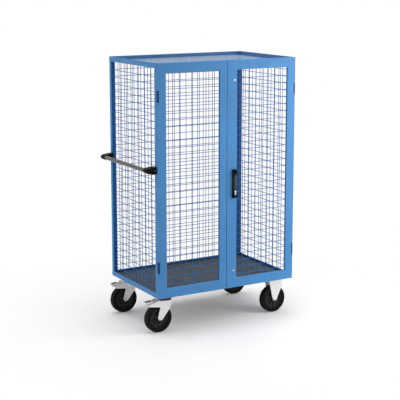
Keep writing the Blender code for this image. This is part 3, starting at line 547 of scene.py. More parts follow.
zinc = (metal("zinc", linear(232, 231, 228), linear(246, 245, 243), (0.3, 0.45), 45, 0.4), "zinc")
steel = (
    metal("bright_steel", linear(188, 190, 194), linear(225, 227, 230), (0.16, 0.3), 80, 1.0), "bright_steel"
)
tube_grey = (
    metal("handle_grey", linear(70, 70, 70), linear(92, 91, 89), (0.22, 0.32), 30, 0.5), "handle_grey"
)
print("metals", [finish[0].name for finish in (zinc, steel, tube_grey)])

# %% [markdown]
# Rubber, hub plastic and the black mouldings are all near black, so their difference lies in their surface:
# rubber is dull and dusty, the hub is a slightly glossy plastic with a fine grain, and the lock and the
# handle brackets have a moulded grain. The casters' dust seals are a brown plastic.

# %% Black parts
def moulded(name, colour, dust, roughness, level, grain, height, dusty):
    """A moulded black part: fine grain of so many lumps to the metre, and patches of dust. level is the
    strength of its mirror-like part."""
    material, tree, shader, place = new_finish(name)
    fine = noise(tree, place, grain, 3, 0.6)
    patches = ramp(tree, noise(tree, place, 22, 5, 0.6), (0.5 - dusty, 0), (0.8, 0.5))
    connect(
        tree,
        shader,
        Base_Color=blend(tree, patches, colour, dust),
        Roughness=ramp(tree, fine, (0.3, roughness[0]), (0.7, roughness[1])),
        Specular_IOR_Level=level,
        Normal=bump(tree, fine, 0.3, height),
    )
    return material


rubber = (
    moulded("tyre_rubber", linear(20, 19, 18), linear(40, 38, 36), (0.6, 0.8), 0.12, 700, 0.12 * MM, 0.05),
    "tyre_rubber",
)
hub_plastic = (
    moulded("hub_plastic", linear(28, 28, 28), linear(52, 51, 50), (0.3, 0.45), 0.3, 500, 0.06 * MM, 0.0),
    "hub_plastic",
)
plastic = (
    moulded("black_plastic", linear(12, 8, 7), linear(34, 26, 22), (0.4, 0.55), 0.06, 900, 0.05 * MM, 0.0),
    "black_plastic",
)
lever_plastic = (
    moulded("lever_plastic", linear(40, 42, 37), linear(58, 58, 50), (0.4, 0.55), 0.35, 900, 0.05 * MM, 0.0),
    "black_plastic",
)
seal = (
    moulded("race_seal", linear(74, 24, 20), linear(104, 52, 42), (0.5, 0.65), 0.3, 400, 0.05 * MM, 0.0),
    "hub_plastic",
)
print("mouldings", [finish[0].name for finish in (rubber, hub_plastic, plastic, lever_plastic, seal)])

# %% [markdown]
# The floor is a film-faced board. Its anthracite film is pressed with a fine wire pattern against slipping,
# which is a grid of small ridges: the higher of two stripe waves, one along each direction.

# %% Film-faced board
GRID_SCALE = 62.0


def film_board(name, colour, worn):
    """Dark film with a pressed wire grid, and paler tracks where loads have slid."""
    material, tree, shader, place = new_finish(name)
    waves = []
    for direction in ("X", "Y"):
        settings = {"wave_type": "BANDS", "bands_direction": direction}
        wave = add_node(tree, "ShaderNodeTexWave", settings, Vector=place, Scale=GRID_SCALE)
        waves.append(wave.outputs["Fac"])
    grid = combine(tree, "MAXIMUM", *waves)
    tracks = ramp(tree, noise(tree, place, 6, 5, 0.65), (0.45, 0), (0.75, 0.6))
    connect(
        tree,
        shader,
        Base_Color=blend(tree, tracks, colour, worn),
        Roughness=ramp(tree, noise(tree, place, 25, 4), (0.3, 0.5), (0.7, 0.7)),
        Specular_IOR_Level=0.15,
        Normal=bump(tree, grid, 0.4, 0.25 * MM),
    )
    return material


deck = (film_board("deck_board", linear(62, 66, 67), linear(84, 86, 86)), "deck_board")
print("board finish", deck[0].name)

# %% [markdown]
# ## Frame and doors
# The rails, the rim and the beams are angle and channel steel, and their CAD shapes are right, so each is a
# copy with a small radius on its edges.

# %% Rails, rim and beams
RAIL_EDGE = 0.8 * MM
rails = [node for node in sorted(frame["nodes"]) if node.startswith(("base_rail_", "caster_beam_"))]
# The inward faces of the rails, beams and rim get painted shade from their paints.
for node in rails:
    mark_inward(edged(node, base_paint_shaded_inside, RAIL_EDGE).data)
mark_inward(edged("top_rim", rim_paint_shaded_inside, RAIL_EDGE).data)
print("rails and beams", rails)

# %% [markdown]
# The posts are square tube, whose corners are rounder: their outline is a rounded square outside and inside,
# carried from foot to head and back, which closes on itself.

# %% Posts
POST_CORNER = 3 * MM
POST_WALL = 2 * MM
# The inward faces of the posts get painted shade in a deep blue.
for node in ("post_front_left", "post_front_right", "post_rear_left", "post_rear_right"):
    low, high = corners(node)
    width, depth = (high - low)[:2]
    outside = rounded_rectangle(width, depth, POST_CORNER)
    inside = rounded_rectangle(width - 2 * POST_WALL, depth - 2 * POST_WALL, POST_CORNER - POST_WALL)
    centre = middle(node)[:2]
    rings = np.concatenate(
        [lay(outside, "Z", (low[2], high[2]), centre), lay(inside, "Z", (high[2], low[2]), centre)]
    )
    post = piece(f"{node}_tube", [loft(rings, closed=True)], body_of(node), post_paint_shaded_inside, (node,))
    mark_inward(post.data)
print("posts are", round(float(high[2] - low[2]), 3), "m long")

# %% [markdown]
# The doors are flat welded frames, which look like one sheet with a large opening. Their edges are rounder
# than the rails', and the light catches them. The board is a sheet with nearly square edges.

# %% Door frames and board
DOOR_EDGE = 1.5 * MM
BOARD_EDGE = 1 * MM
for node in ("door_frame_left", "door_frame_right"):
    edged(node, paint, DOOR_EDGE, 3)
    print(node, "is", round(float((corners(node)[1] - corners(node)[0])[0]), 3), "m wide")
edged("floor_board", deck, BOARD_EDGE)

# %% [markdown]
# ## Wire mesh
# The mesh is two layers of straight round wires, one upright and one level, pressed into each other where
# they are welded. The CAD nets are only a coarse stand-in of squares. Here each wire is its own round bar,
# computed for a whole layer at once, and the layers lie a little closer than a wire's thickness.

# %% Wires
WIRE = 4 * MM
LAYER_STEP = 0.86 * WIRE
WIRE_SIDES = 8


def bars(rings):
    """Many separate bars, from a k x 2 x n x 3 array: bar k joins its first ring of n corners to its second.

    Quad j joins corners j and j + 1 of one ring with those of the other, and each end gets a flat cap.
    """
    count, _, n = rings.shape[:3]
    index = np.arange(count * 2 * n).reshape(count, 2, n)
    beside = np.roll(index, -1, axis=2)
    quads = np.stack([index[:, 0], beside[:, 0], beside[:, 1], index[:, 1]], axis=-1).reshape(-1, 4)
    return rings.reshape(-1, 3), [quads, index[:, 0], index[:, 1]]


def wires(starts, ends, along):
    """Round bars from starts to ends, two k x 3 arrays, all along one axis.

    Ring corner j of a bar is its end plus the wire's radius times (cos t, sin t) across the axis.
    """
    t = (np.arange(WIRE_SIDES) + 0.5) * TURN / WIRE_SIDES
    a, b = PLANES[along]
    circle = np.zeros((WIRE_SIDES, 3))
    circle[:, a] = WIRE / 2 * np.cos(t)
    circle[:, b] = WIRE / 2 * np.sin(t)
    return bars(np.stack([starts, ends], axis=1)[:, :, None, :] + circle)


def layer(along, across, level, places, low, high):
    """One layer of wires along an axis, from low to high. They lie at the places across it, and at one level
    of the third axis."""
    k = ["XYZ".index(name) for name in (along, across)]
    third = 3 - sum(k)
    starts = np.zeros((len(places), 3))
    starts[:, k[1]] = places
    starts[:, third] = level
    ends = starts.copy()
    starts[:, k[0]] = low
    ends[:, k[0]] = high
    return wires(starts, ends, along)


def evenly(low, high, pitch):
    """Places from low to high, both included, at the even spacing nearest to the pitch."""
    return np.linspace(low, high, max(1, round((high - low) / pitch)) + 1)


print("welded layers share", round((WIRE - LAYER_STEP) / MM, 2), "mm of their thickness")

# %% [markdown]
# In each door the upright wires are in front, about 52 mm apart with one at each edge of the net. The level
# wires behind them are 50 mm apart, and the first is 58 mm below the net's top.

# %% Door meshes
UPRIGHT_PITCH = 52 * MM
LEVEL_PITCH = 50 * MM
FIRST_LEVEL = 58 * MM
# The door wires' inward faces get painted shade in a deeper blue.
for side in ("left", "right"):
    node = f"door_mesh_{side}"
    low, high = corners(node)
    plane = (low[1] + high[1]) / 2
    uprights = evenly(low[0] + WIRE / 2, high[0] - WIRE / 2, UPRIGHT_PITCH)
    levels = np.arange(high[2] - FIRST_LEVEL, low[2] + WIRE, -LEVEL_PITCH)
    shells = [
        layer("Z", "X", plane - LAYER_STEP / 2, uprights, low[2], high[2]),
        layer("X", "Z", plane + LAYER_STEP / 2, levels, low[0], high[0]),
    ]
    mark_inward(piece(f"{node}_wires", shells, body_of(node), wire_coat_shaded_inside, (node,)).data)
    print(f"{side} door mesh has", len(uprights), "uprights and", len(levels), "level wires")

# %% [markdown]
# The fixed walls are the same mesh, welded inside the posts and rails, so their upright wires are outermost.
# Their level wires end above the board.

# %% Side and rear meshes
WALL_PITCH = 50 * MM


def wall(node, normal, outward, second, lowest):
    """A wall mesh: uprights on the outer side and level wires inside, in the plane of its CAD net."""
    low, high = corners(node)
    k, a = "XYZ".index(normal), "XYZ".index(second)
    plane = (low[k] + high[k]) / 2
    uprights = evenly(low[a] + WIRE / 2, high[a] - WIRE / 2, WALL_PITCH)
    levels = np.arange(high[2] - FIRST_LEVEL, lowest, -WALL_PITCH)
    shells = [
        layer("Z", second, plane + outward * LAYER_STEP / 2, uprights, low[2], high[2]),
        layer(second, "Z", plane - outward * LAYER_STEP / 2, levels, low[a], high[a]),
    ]
    mark_inward(piece(f"{node}_wires", shells, body_of(node), wire_coat_shaded_inside, (node,)).data)
    print(node, "has", len(uprights), "uprights and", len(levels), "level wires")


above_board = corners("floor_board")[1][2] + WIRE
# The wall wires' inward faces get painted shade in a deeper blue.
wall("side_mesh_left", "X", -1, "Y", above_board)
wall("side_mesh_right", "X", 1, "Y", above_board)
wall("rear_mesh", "Y", 1, "X", above_board)

# %% [markdown]
# The roof lies on the rim's flange, with the wires along the width on top.

# %% Roof mesh
low, high = corners("roof_mesh")
roof_level = (low[2] + high[2]) / 2
along_depth = evenly(low[0] + WIRE, high[0] - WIRE, WALL_PITCH)
along_width = evenly(low[1] + WIRE, high[1] - WIRE, WALL_PITCH)
shells = [
    layer("Y", "X", roof_level - LAYER_STEP / 2, along_depth, low[1], high[1]),
    layer("X", "Y", roof_level + LAYER_STEP / 2, along_width, low[0], high[0]),
]
# The roof wires carry a painted highlight in their pale blue.
piece("roof_mesh_wires", shells, body_of("roof_mesh"), roof_coat_painted_sheen, ("roof_mesh",))
print("roof has", len(along_depth), "wires along its depth and", len(along_width), "along its width")

# %% [markdown]
# ## Hinges
# A lift-off hinge is two turned barrels on one pin. The lower barrel carries the pin and is welded to the
# post, and the upper one is bored and welded to the door. Each is a profile turned about the hinge axis, with
# a thin leaf that reaches its steel. A small gap is left between them, so that the door turns freely.

# %% Barrels
BARREL_SIDES = 32
BARREL_CHAMFER = 0.8 * MM
HINGE_RADIUS = 7 * MM
CAP = 4 * MM


def barrel(low, high, bore, x, y):
    """A turned barrel with chamfered ends: solid where bore is 0, or bored from below up to a cap."""
    edge = HINGE_RADIUS - BARREL_CHAMFER
    outside = [
        (low, edge), (low + BARREL_CHAMFER, HINGE_RADIUS), (high - BARREL_CHAMFER, HINGE_RADIUS), (high, edge)
    ]
    if bore:
        profile = [(high - CAP, 0), (high - CAP, bore), (low, bore), *outside, (high, 0)]
    else:
        profile = [(low, 0), *outside, (high, 0)]
    return lathe(profile, "Z", (x, y, 0), BARREL_SIDES)


print("barrels are", round(2 * HINGE_RADIUS / MM, 1), "mm thick")

# %% [markdown]
# The split between the halves is where the door's half starts in the CAD model. The pin is rooted a little
# below it, and both leaves stop short of the barrels' ends.

# %% Hinges
PIN_RADIUS = 4 * MM
BORE_RADIUS = PIN_RADIUS + 0.5 * MM
PIN_ROOT = 2 * MM
BELOW_SPLIT = 0.6 * MM
ABOVE_SPLIT = 0.2 * MM
LEAF = 5 * MM
LEAF_END = MM
# Both hinge halves are painted a darker blue, which is painted shade.
for side, inward in (("left", 1), ("right", -1)):
    for level in ("lower", "upper"):
        post_half, door_half = f"hinge_post_half_{side}_{level}", f"hinge_door_half_{side}_{level}"
        post_low, post_high = corners(post_half)
        door_low, door_high = corners(door_half)
        y = post_low[1] + HINGE_RADIUS
        x = post_low[0] + HINGE_RADIUS
        split = door_low[2]
        root, head = split - PIN_ROOT, post_high[2]
        pin = lathe(
            [(root, 0), (root, PIN_RADIUS), (head, PIN_RADIUS), (head, 0)], "Z", (x, y, 0), BARREL_SIDES
        )
        leaf = block((x - LEAF / 2, y, post_low[2] + LEAF_END), (x + LEAF / 2, post_high[1], root))
        shells = [barrel(post_low[2], split - BELOW_SPLIT, 0, x, y), pin, leaf]
        piece(f"{post_half}_barrel", shells, body_of(post_half), hinge_paint_shaded, (post_half,))
        tongue = x + inward * (door_high[0] - door_low[0] - HINGE_RADIUS)
        leaf = block(
            (min(x, tongue), y - LEAF / 2, split + LEAF_END),
            (max(x, tongue), y + LEAF / 2, door_high[2] - LEAF_END),
        )
        shells = [barrel(split + ABOVE_SPLIT, door_high[2], BORE_RADIUS, x, y), leaf]
        piece(f"{door_half}_barrel", shells, body_of(door_half), hinge_paint_shaded, (door_half,))
    print(f"hinge axis of the {side} door at", round(float(x), 4), round(float(y), 4))

# %% [markdown]
# ## Rod lock
# The lock is a black moulding on the right door: a long plate, a housing with the keyhole at its lower end
# and a swing lever above it. The lever is a moulded grip, so its outline changes along its length: each ring
# is a squarish oval, |x|^p + |y|^p = 1, narrowest at the waist and rounded off at both ends, and shallow
# grooves cross its upper half.

# %% Lock plate and grip
LOCK_EDGE = 1.6 * MM
WAIST_WIDTH, WAIST_DEPTH = 0.12, 0.08
END_REACH, END_LOSS = 0.04, 0.20
GROOVES_FROM, GROOVES_TO = 0.45, 0.95
GROOVE_LOSS, GROOVE_COUNT = 0.05, 12
for node in ("lock_escutcheon", "lock_spindle"):
    edged(node, plastic, LOCK_EDGE, 3)


def grip_rings(low, high, back, front, half, levels=140, around=32, power=3.2):
    """Rings of a moulded grip from its tip up, with a back that stays at one depth.

    The ring at share s of the height has the half width half * (1 - WAIST_WIDTH sin(pi s)) and the half depth
    (back - front) / 2 * (1 - WAIST_DEPTH sin(pi s)). Both lose END_LOSS at the very ends, less and less
    along a quarter circle over END_REACH of the height, and GROOVE_LOSS in the grooves, which follow
    a cosine with GROOVE_COUNT waves to the height and fade out at both ends of their stretch.
    """
    s = np.linspace(0, 1, levels)
    t = np.arange(around) * TURN / around
    across = np.sign(np.cos(t)) * np.abs(np.cos(t)) ** (2 / power)
    out = np.sign(np.sin(t)) * np.abs(np.sin(t)) ** (2 / power)
    ends = np.clip(np.minimum(s, 1 - s) / END_REACH, 0, 1)
    taper = (1 - END_LOSS) + END_LOSS * np.sqrt(1 - (1 - ends) ** 2)
    grooved = np.clip((s - GROOVES_FROM) / 0.1, 0, 1) * np.clip((GROOVES_TO - s) / 0.05, 0, 1)
    taper = taper - GROOVE_LOSS * grooved * (0.5 - 0.5 * np.cos(TURN * GROOVE_COUNT * s))
    width = half * (1 - WAIST_WIDTH * np.sin(math.pi * s)) * taper
    depth = (back - front) / 2 * (1 - WAIST_DEPTH * np.sin(math.pi * s)) * taper
    middle_y = back - depth
    rings = np.empty((levels, around, 3))
    rings[..., 0] = width[:, None] * across
    rings[..., 1] = middle_y[:, None] + depth[:, None] * out
    rings[..., 2] = (low + (high - low) * s)[:, None]
    return rings


lever_low, lever_high = corners("lock_lever")
print("lever is", np.round((lever_high - lever_low) / MM, 1), "mm wide, deep and long")

# %% [markdown]
# At its top the lever ends in a knuckle, a turned barrel that lies across it. It swings there on a thinner
# trunnion, and a neck joins knuckle and grip.

# %% Lever
KNUCKLE_INSET = 4.4 * MM
KNUCKLE_CHAMFER = 0.5 * MM
SHOULDER_GAP = MM
NECK_FRONT, NECK_BACK, NECK_ROOT = 2 * MM, 1.5 * MM, 3 * MM
TRUNNION_INSET = 0.3 * MM
TRUNNION_RADIUS = 3 * MM
lock_x = middle("lock_lever")[0]
lever_half = (lever_high[0] - lever_low[0]) / 2
depth = lever_high[1] - lever_low[1]
pivot_z = lever_high[2] - depth / 2
pivot = (lock_x, (lever_low[1] + lever_high[1]) / 2, pivot_z)
shoulder = pivot_z - depth / 2 - SHOULDER_GAP
rings = grip_rings(lever_low[2], shoulder, lever_high[1], lever_low[1], lever_half)
rings[..., 0] += lock_x
knuckle_half = lever_half - KNUCKLE_INSET
end, rim = knuckle_half - KNUCKLE_CHAMFER, depth / 2 - KNUCKLE_CHAMFER
knuckle = lathe(
    [(-knuckle_half, 0), (-knuckle_half, rim), (-knuckle_half + KNUCKLE_CHAMFER, depth / 2),
     (end, depth / 2), (knuckle_half, rim), (knuckle_half, 0)],
    "X", pivot, 32,
)
neck = block(
    (lock_x - knuckle_half, lever_low[1] + NECK_FRONT, shoulder - NECK_ROOT),
    (lock_x + knuckle_half, lever_high[1] - NECK_BACK, pivot_z),
)
trunnion_half = lever_half - TRUNNION_INSET
trunnion = lathe(
    [(-trunnion_half, 0), (-trunnion_half, TRUNNION_RADIUS), (trunnion_half, TRUNNION_RADIUS),
     (trunnion_half, 0)],
    "X", pivot, 24,
)
shells = [loft(rings), knuckle, neck, trunnion]
piece("lock_lever_grip", shells, body_of("lock_lever"), lever_plastic, ("lock_lever",))
print("lever grip is", round(float(shoulder - lever_low[2]), 4), "m long")

# %% [markdown]
# The cylinder and its plug are small bright parts, and the rods behind the door are round bars with
# chamfered ends.

# %% Cylinder and rods
CYLINDER_EDGE = 0.4 * MM
PLUG_EDGE = 0.2 * MM
ROD_RADIUS = 4 * MM
ROD_CHAMFER = MM
edged("lock_cylinder", steel, CYLINDER_EDGE)
edged("lock_plug", steel, PLUG_EDGE)
for node in ("lock_rod_lower", "lock_rod_upper"):
    low, high = corners(node)
    x, y = ((low + high) / 2)[:2]
    narrow = ROD_RADIUS - ROD_CHAMFER
    profile = [
        (low[2], 0), (low[2], narrow), (low[2] + ROD_CHAMFER, ROD_RADIUS),
        (high[2] - ROD_CHAMFER, ROD_RADIUS), (high[2], narrow), (high[2], 0),
    ]
    piece(f"{node}_bar", [lathe(profile, "Z", (x, y, 0), 20)], body_of(node), zinc, (node,))
    print(node, "is", round(float(high[2] - low[2]), 3), "m long")

# %% [markdown]
# The screws of the rod guides show on the door's front as bright domed heads, each with a smaller rivet in
# dark grey below it.

# %% Rod guides
GUIDE_EDGE = 0.5 * MM
SCREW_DOME = (6.4 * MM, 2.6 * MM, 0.9 * MM)
RIVET_DOME = (4 * MM, 1.6 * MM, 0.5 * MM)
HEAD_SINK = 0.3 * MM
RIVET_DROP = 25 * MM


def dome(radius, height, proud, steps=6):
    """A domed head's profile: a short wall, then four fifths of a quarter oval, up to a small recess."""
    t = np.linspace(0, math.pi / 2 * 0.8, steps)
    curve = np.stack([-(proud + height * np.sin(t)), radius * np.cos(t)], axis=1)
    recess = radius * math.cos(t[-1])
    floor = -(proud + height * 0.35)
    return np.concatenate([[(0, 0), (0, radius)], curve, [(floor, recess * 0.9), (floor, 0)]])


door_front = corners("door_frame_right")[0][1]
for level in ("lower", "upper"):
    node = f"rod_guide_{level}"
    edged(node, zinc, GUIDE_EDGE)
    z = middle(node)[2]
    head = lathe(dome(*SCREW_DOME), "Y", (lock_x, door_front - HEAD_SINK, z), 28)
    piece(f"guide_screw_{level}", [head], body_of(node), steel)
    rivet = lathe(dome(*RIVET_DOME), "Y", (lock_x, door_front, z - RIVET_DROP), 24)
    piece(f"guide_rivet_{level}", [rivet], body_of(node), tube_grey)
    print(f"{level} guide screw at", round(float(z), 3))

# %% [markdown]
# ## Push handle
# A grey steel tube sits between two black mouldings. The tube is turned from one closed profile.

# %% Handle tube
TUBE_WALL = 2 * MM
TUBE_CHAMFER = MM / 2
low, high = corners("handle_tube")
handle_x, _, handle_z = middle("handle_tube")
radius = (high[2] - low[2]) / 2
profile = [
    (low[1], radius - TUBE_CHAMFER), (low[1] + TUBE_CHAMFER, radius), (high[1] - TUBE_CHAMFER, radius),
    (high[1], radius - TUBE_CHAMFER), (high[1], radius - TUBE_WALL), (low[1], radius - TUBE_WALL),
]
tube = lathe(profile, "Y", (handle_x, 0, handle_z), 48)
piece("handle_tube_round", [tube], "cart", tube_grey, ("handle_tube",))
print("handle tube radius", round(float(radius), 4))

# %% [markdown]
# The mouldings are the CAD shapes with soft edges, each with a bright screw in its pocket. The profile of the
# screw has a flange, a domed head and a recess for the key.

# %% Handle brackets
BRACKET_EDGE = 1.8 * MM
SCREW_INSET = 12 * MM
POCKET_WALL = 5.7 * MM
SCREW = np.array(
    [(0, 0), (0, 6), (-1.5, 6), (-1.5, 5.2), (-4, 4.4), (-5, 3), (-5, 2), (-3, 1.8), (-3, 0)]
) * MM
for depth_side, outward in (("front", -1), ("rear", 1)):
    node = f"handle_bracket_{depth_side}"
    edged(node, plastic, BRACKET_EDGE, 3)
    low, high = corners(node)
    y = (low[1] if outward < 0 else high[1]) - outward * SCREW_INSET
    screw = lathe(SCREW, "X", (high[0] - POCKET_WALL, y, handle_z), 24)
    piece(f"bracket_screw_{depth_side}", [screw], "cart", steel)
    print(f"{depth_side} bracket screw at depth", round(float(y), 4))

# %% [markdown]
# ## Casters
# A tyre and a hub are turned shapes. The tyre has rounded shoulders and a shallow ring in its side, and
# the hub a recessed web with a raised ring. Both are profiles turned about the wheel's axle. A profile gives
# one side of the wheel in millimetres, as (distance from the middle, radius), and its mirror the other.

# %% Tyre and hub profiles
def mirrored(half_profile):
    """A profile that runs out on one side of the wheel and back on the other, in metres."""
    half_profile = np.asarray(half_profile, float) * MM
    return np.concatenate([half_profile, half_profile[::-1] * (-1, 1)])


def shoulder_curve(steps=8):
    """The tyre's shoulder, a quarter of an oval from the side wall to the tread, in millimetres."""
    t = np.linspace(0, math.pi / 2, steps)
    return np.stack([17 + 8 * np.cos(t), 90 + 9.7 * np.sin(t)], axis=1)


TYRE_HALF = np.concatenate(
    [[(21.5, 70), (23.2, 70.6), (24.6, 72), (25, 74), (25, 76), (22.6, 76.8), (22.6, 79.6), (25, 80.4)],
     [(25, 84.6), (24, 85.2), (24, 86.6), (25, 87.2)], shoulder_curve(), [(8, 99.9), (0.6, 100), (0.4, 99.8)]]
)
HUB_HALF = [
    (28, 6.4), (28, 14.4), (27.2, 15.6), (13, 18.4), (10.5, 19.4), (9, 21.5), (7.6, 34), (9.6, 35), (9.6, 38),
    (7.4, 39), (7.4, 54), (8.6, 57), (13, 60.5), (19, 62.2), (20.5, 63.4), (20.5, 68.4), (19.8, 69.6),
]
print("profiles have", len(TYRE_HALF), "and", len(HUB_HALF), "points to a side")

# %% [markdown]
# Ribs stiffen the hub's web on both sides. They stand upright from it and fall from the boss to the rim, so
# each is a wedge between two square rings, one at its inner end and one at its outer end.

# %% Wheels
WHEEL_SIDES = 96
RIB_RADII = np.array([17, 61]) * MM
RIB_FEET = np.array([6.5, 6.5]) * MM
RIB_TOPS = np.array([17, 13]) * MM
RIB_HALF = 1.5 * MM


def ribs(centre, count=10):
    """Ribs on both sides of the hub's web from its boss to its rim, each a wedge of six faces.

    Rib k stands at the share (k + 1/2) / count of a turn. Its four feet are near the web, and its four tops
    fall from the boss to the rim.
    """
    t = (np.arange(count) + 0.5) * TURN / count
    out = np.stack([np.cos(t), np.zeros(count), np.sin(t)], axis=1)
    across = np.stack([-np.sin(t), np.zeros(count), np.cos(t)], axis=1)
    axle = np.array([0, 1, 0])
    shells = []
    for side in (1, -1):
        feet, tops = RIB_FEET * side, RIB_TOPS * side
        square = [(feet, -1), (feet, 1), (tops, 1), (tops, -1)]
        ends = []
        for end in (0, 1):
            spot = out * RIB_RADII[end]
            ring = [spot + across * RIB_HALF * sign + axle * level[end] for level, sign in square]
            ends.append(np.stack(ring, axis=1))
        shells.append(bars(np.stack(ends, axis=1) + centre))
    return shells


CASTERS = ("swivel_front", "swivel_rear", "fixed_front", "fixed_rear")
for caster in CASTERS:
    centre = middle(f"hub_{caster}")
    tyre = lathe(mirrored(TYRE_HALF), "Y", centre, WHEEL_SIDES)
    piece(f"tyre_{caster}_round", [tyre], body_of(f"tyre_{caster}"), rubber, (f"tyre_{caster}",))
    shells = [lathe(mirrored(HUB_HALF), "Y", centre, WHEEL_SIDES), *ribs(centre)]
    piece(f"hub_{caster}_ribbed", shells, body_of(f"hub_{caster}"), hub_plastic, (f"hub_{caster}",))
    print(f"{caster} wheel centre", np.round(centre, 3).tolist())

# %% [markdown]
# The axle is a bolt with a hexagon head in front and a lock nut behind, each on a washer. A hexagon is a
# lathe with six sides, and its chamfer is one more point of the profile.

# %% Axle bolts
BOLT_RADIUS = 5.9 * MM
BOLT_HEAD = 6 * MM
BOLT_ACROSS_FLATS = 16 * MM
WASHER = 1.2 * MM
WASHER_BORE, WASHER_RADIUS = 5 * MM, 10 * MM


def hexagon(start, end, across, axis, centre):
    """A hexagon head or nut from start to end along an axis, chamfered over its last quarter.

    Its corners' radius is its width across the flats over the square root of 3.
    """
    radius = across / math.sqrt(3)
    lean = (end - start) * 0.25
    profile = [(start, 0), (start, radius), (end - lean, radius), (end, radius * 0.88), (end, 0)]
    return lathe(profile, axis, centre, 6)


def washer(start, end, inner, outer, axis, centre):
    """A flat ring from start to end along an axis."""
    return lathe([(start, inner), (start, outer), (end, outer), (end, inner)], axis, centre, 32)


for caster in CASTERS:
    node = caster.replace("_", "_axle_")
    centre = middle(node)
    half = (corners(node)[1] - corners(node)[0])[1] / 2
    cheek = half - BOLT_HEAD
    shaft = [(-cheek, 0), (-cheek, BOLT_RADIUS), (cheek, BOLT_RADIUS), (cheek, 0)]
    shells = [lathe(shaft, "Y", centre, 24)]
    for sign in (-1, 1):
        seat = sign * (cheek + WASHER)
        shells.append(washer(sign * cheek, seat, WASHER_BORE, WASHER_RADIUS, "Y", centre))
        shells.append(hexagon(seat, sign * half, BOLT_ACROSS_FLATS, "Y", centre))
    piece(f"{node}_bolt", shells, body_of(node), steel, (node,))
print("axle bolts are", round(float(2 * half), 4), "m long")

# %% [markdown]
# The forks and plates are pressed from thick sheet, so their edges have a clear radius. Four low domed bolts
# hold each plate. A fixed caster's fork and plate are one part.

# %% Forks and plates
FORK_EDGE = 1.3 * MM
PLATE = 5 * MM
PLATE_BOLT = (6 * MM, MM, 0.3 * MM)
BOLT_ALONG, BOLT_ACROSS = 51 * MM, 41 * MM
for caster in CASTERS:
    kind, depth_side = caster.split("_")
    fork = f"{kind}_fork_{depth_side}"
    edged(fork, zinc, FORK_EDGE, 3)
    plate = fork
    if kind == "swivel":
        plate = f"swivel_plate_{depth_side}"
        edged(plate, zinc, FORK_EDGE, 3)
    x = middle(f"caster_beam_{'left' if kind == 'swivel' else 'right'}")[0]
    y = middle(plate)[1]
    under = corners(plate)[1][2] - PLATE
    bolts = [
        lathe(dome(*PLATE_BOLT), "Z", (x + along * BOLT_ALONG, y + across * BOLT_ACROSS, under), 20)
        for along in (-1, 1)
        for across in (-1, 1)
    ]
    piece(f"plate_bolts_{caster}", bolts, "cart", steel)
    print(f"{caster} plate is held at", round(float(under), 4))

# %% [markdown]
# On a swivel caster a brown dust seal closes the ball race between the plate and the turning fork, and the
# kingpin ends in a nut below. The seal's profile is given in millimetres from the plate's underside.

# %% Race seals and kingpin nuts
SEAL = np.array(
    [(-24.5, 43.2), (-24, 44.4), (-13, 45), (-2, 44.6), (-1, 43.4), (-1, 40.6), (-12.2, 40.6), (-12.4, 43.2)]
) * MM
NUT_DROP = 29.6 * MM
NUT_HEIGHT = 7 * MM
NUT_ACROSS_FLATS = 19 * MM
for depth_side in ("front", "rear"):
    fork, plate = f"swivel_fork_{depth_side}", f"swivel_plate_{depth_side}"
    axis_x, axis_y = middle(plate)[:2]
    top = corners(plate)[1][2] - PLATE
    ring = lathe(SEAL + (top, 0), "Z", (axis_x, axis_y, 0), 64)
    piece(f"race_seal_{depth_side}", [ring], body_of(fork), seal)
    crown = top - NUT_DROP
    nut = hexagon(crown, crown - NUT_HEIGHT, NUT_ACROSS_FLATS, "Z", (axis_x, axis_y, 0))
    piece(f"kingpin_nut_{depth_side}", [nut], "cart", zinc)
print("swivel axes at", round(float(axis_x), 3))

# %% [markdown]
# ## Brake pedals
# The pedal is a bright pressed lever with three dark cross bars for the foot. Its top falls towards its tip,
# and the bars follow it.

# %% Pedals
BAR_SPOTS = np.array([8, 22, 36]) * MM
BAR_HALF = np.array([5, 19]) * MM
BAR_PROUD, BAR_HEIGHT = 1.2 * MM, 6 * MM
PEDAL_LENGTH, PEDAL_FALL = 50 * MM, 11.5 * MM
PEDAL_EDGE = MM
for depth_side in ("front", "rear"):
    node = f"brake_pedal_{depth_side}"
    edged(node, zinc, PEDAL_EDGE, 3)
    low, high = corners(node)
    tip, heel = low[0], low[0] + PEDAL_LENGTH
    y = (low[1] + high[1]) / 2
    grips = []
    for spot in tip + BAR_SPOTS:
        fall = (heel - spot) / (high[0] - low[0]) * PEDAL_FALL
        top = high[2] + BAR_PROUD - fall
        spot_low, spot_high = (spot, y) - BAR_HALF, (spot, y) + BAR_HALF
        grips.append(block((*spot_low, top - BAR_HEIGHT), (*spot_high, top)))
    piece(f"pedal_grips_{depth_side}", grips, body_of(node), plastic, edge=PEDAL_EDGE)
print("pedals reach", round(float(tip), 4))

# %% [markdown]
# ## Studio
# The cart stands on a white floor with a soft shadow under it. The camera sees a paler floor than the one
# that lights the cart, and a share of what it sees is a plain white glow: a small share near the cart, which
# keeps the shadow pale, and all of it 2 m out, where the floor fades into the white world behind it. No more
# light reaches the cart for that, so the colours stay as they are written.

# %% Rays that see the background
def seen_directly(tree):
    """1 for rays from the camera, from a glossy surface or through glass, and 0 for light on the cart."""
    rays = add_node(tree, "ShaderNodeLightPath").outputs
    either = combine(tree, "MAXIMUM", rays["Is Camera Ray"], rays["Is Glossy Ray"])
    return combine(tree, "MAXIMUM", either, rays["Is Transmission Ray"])


def show(tree, output, factor, first, second):
    """Links a mix of two shaders to an output node: all of the second where the factor is 1."""
    mixed = add_node(tree, "ShaderNodeMixShader")
    for socket, value in zip(mixed.inputs, (factor, first.outputs[0], second.outputs[0])):
        tree.links.new(value, socket)
    tree.links.new(mixed.outputs[0], tree.nodes[output].inputs["Surface"])


# %% [markdown]
# The floor is a very flat block, large enough to reach out of every view.

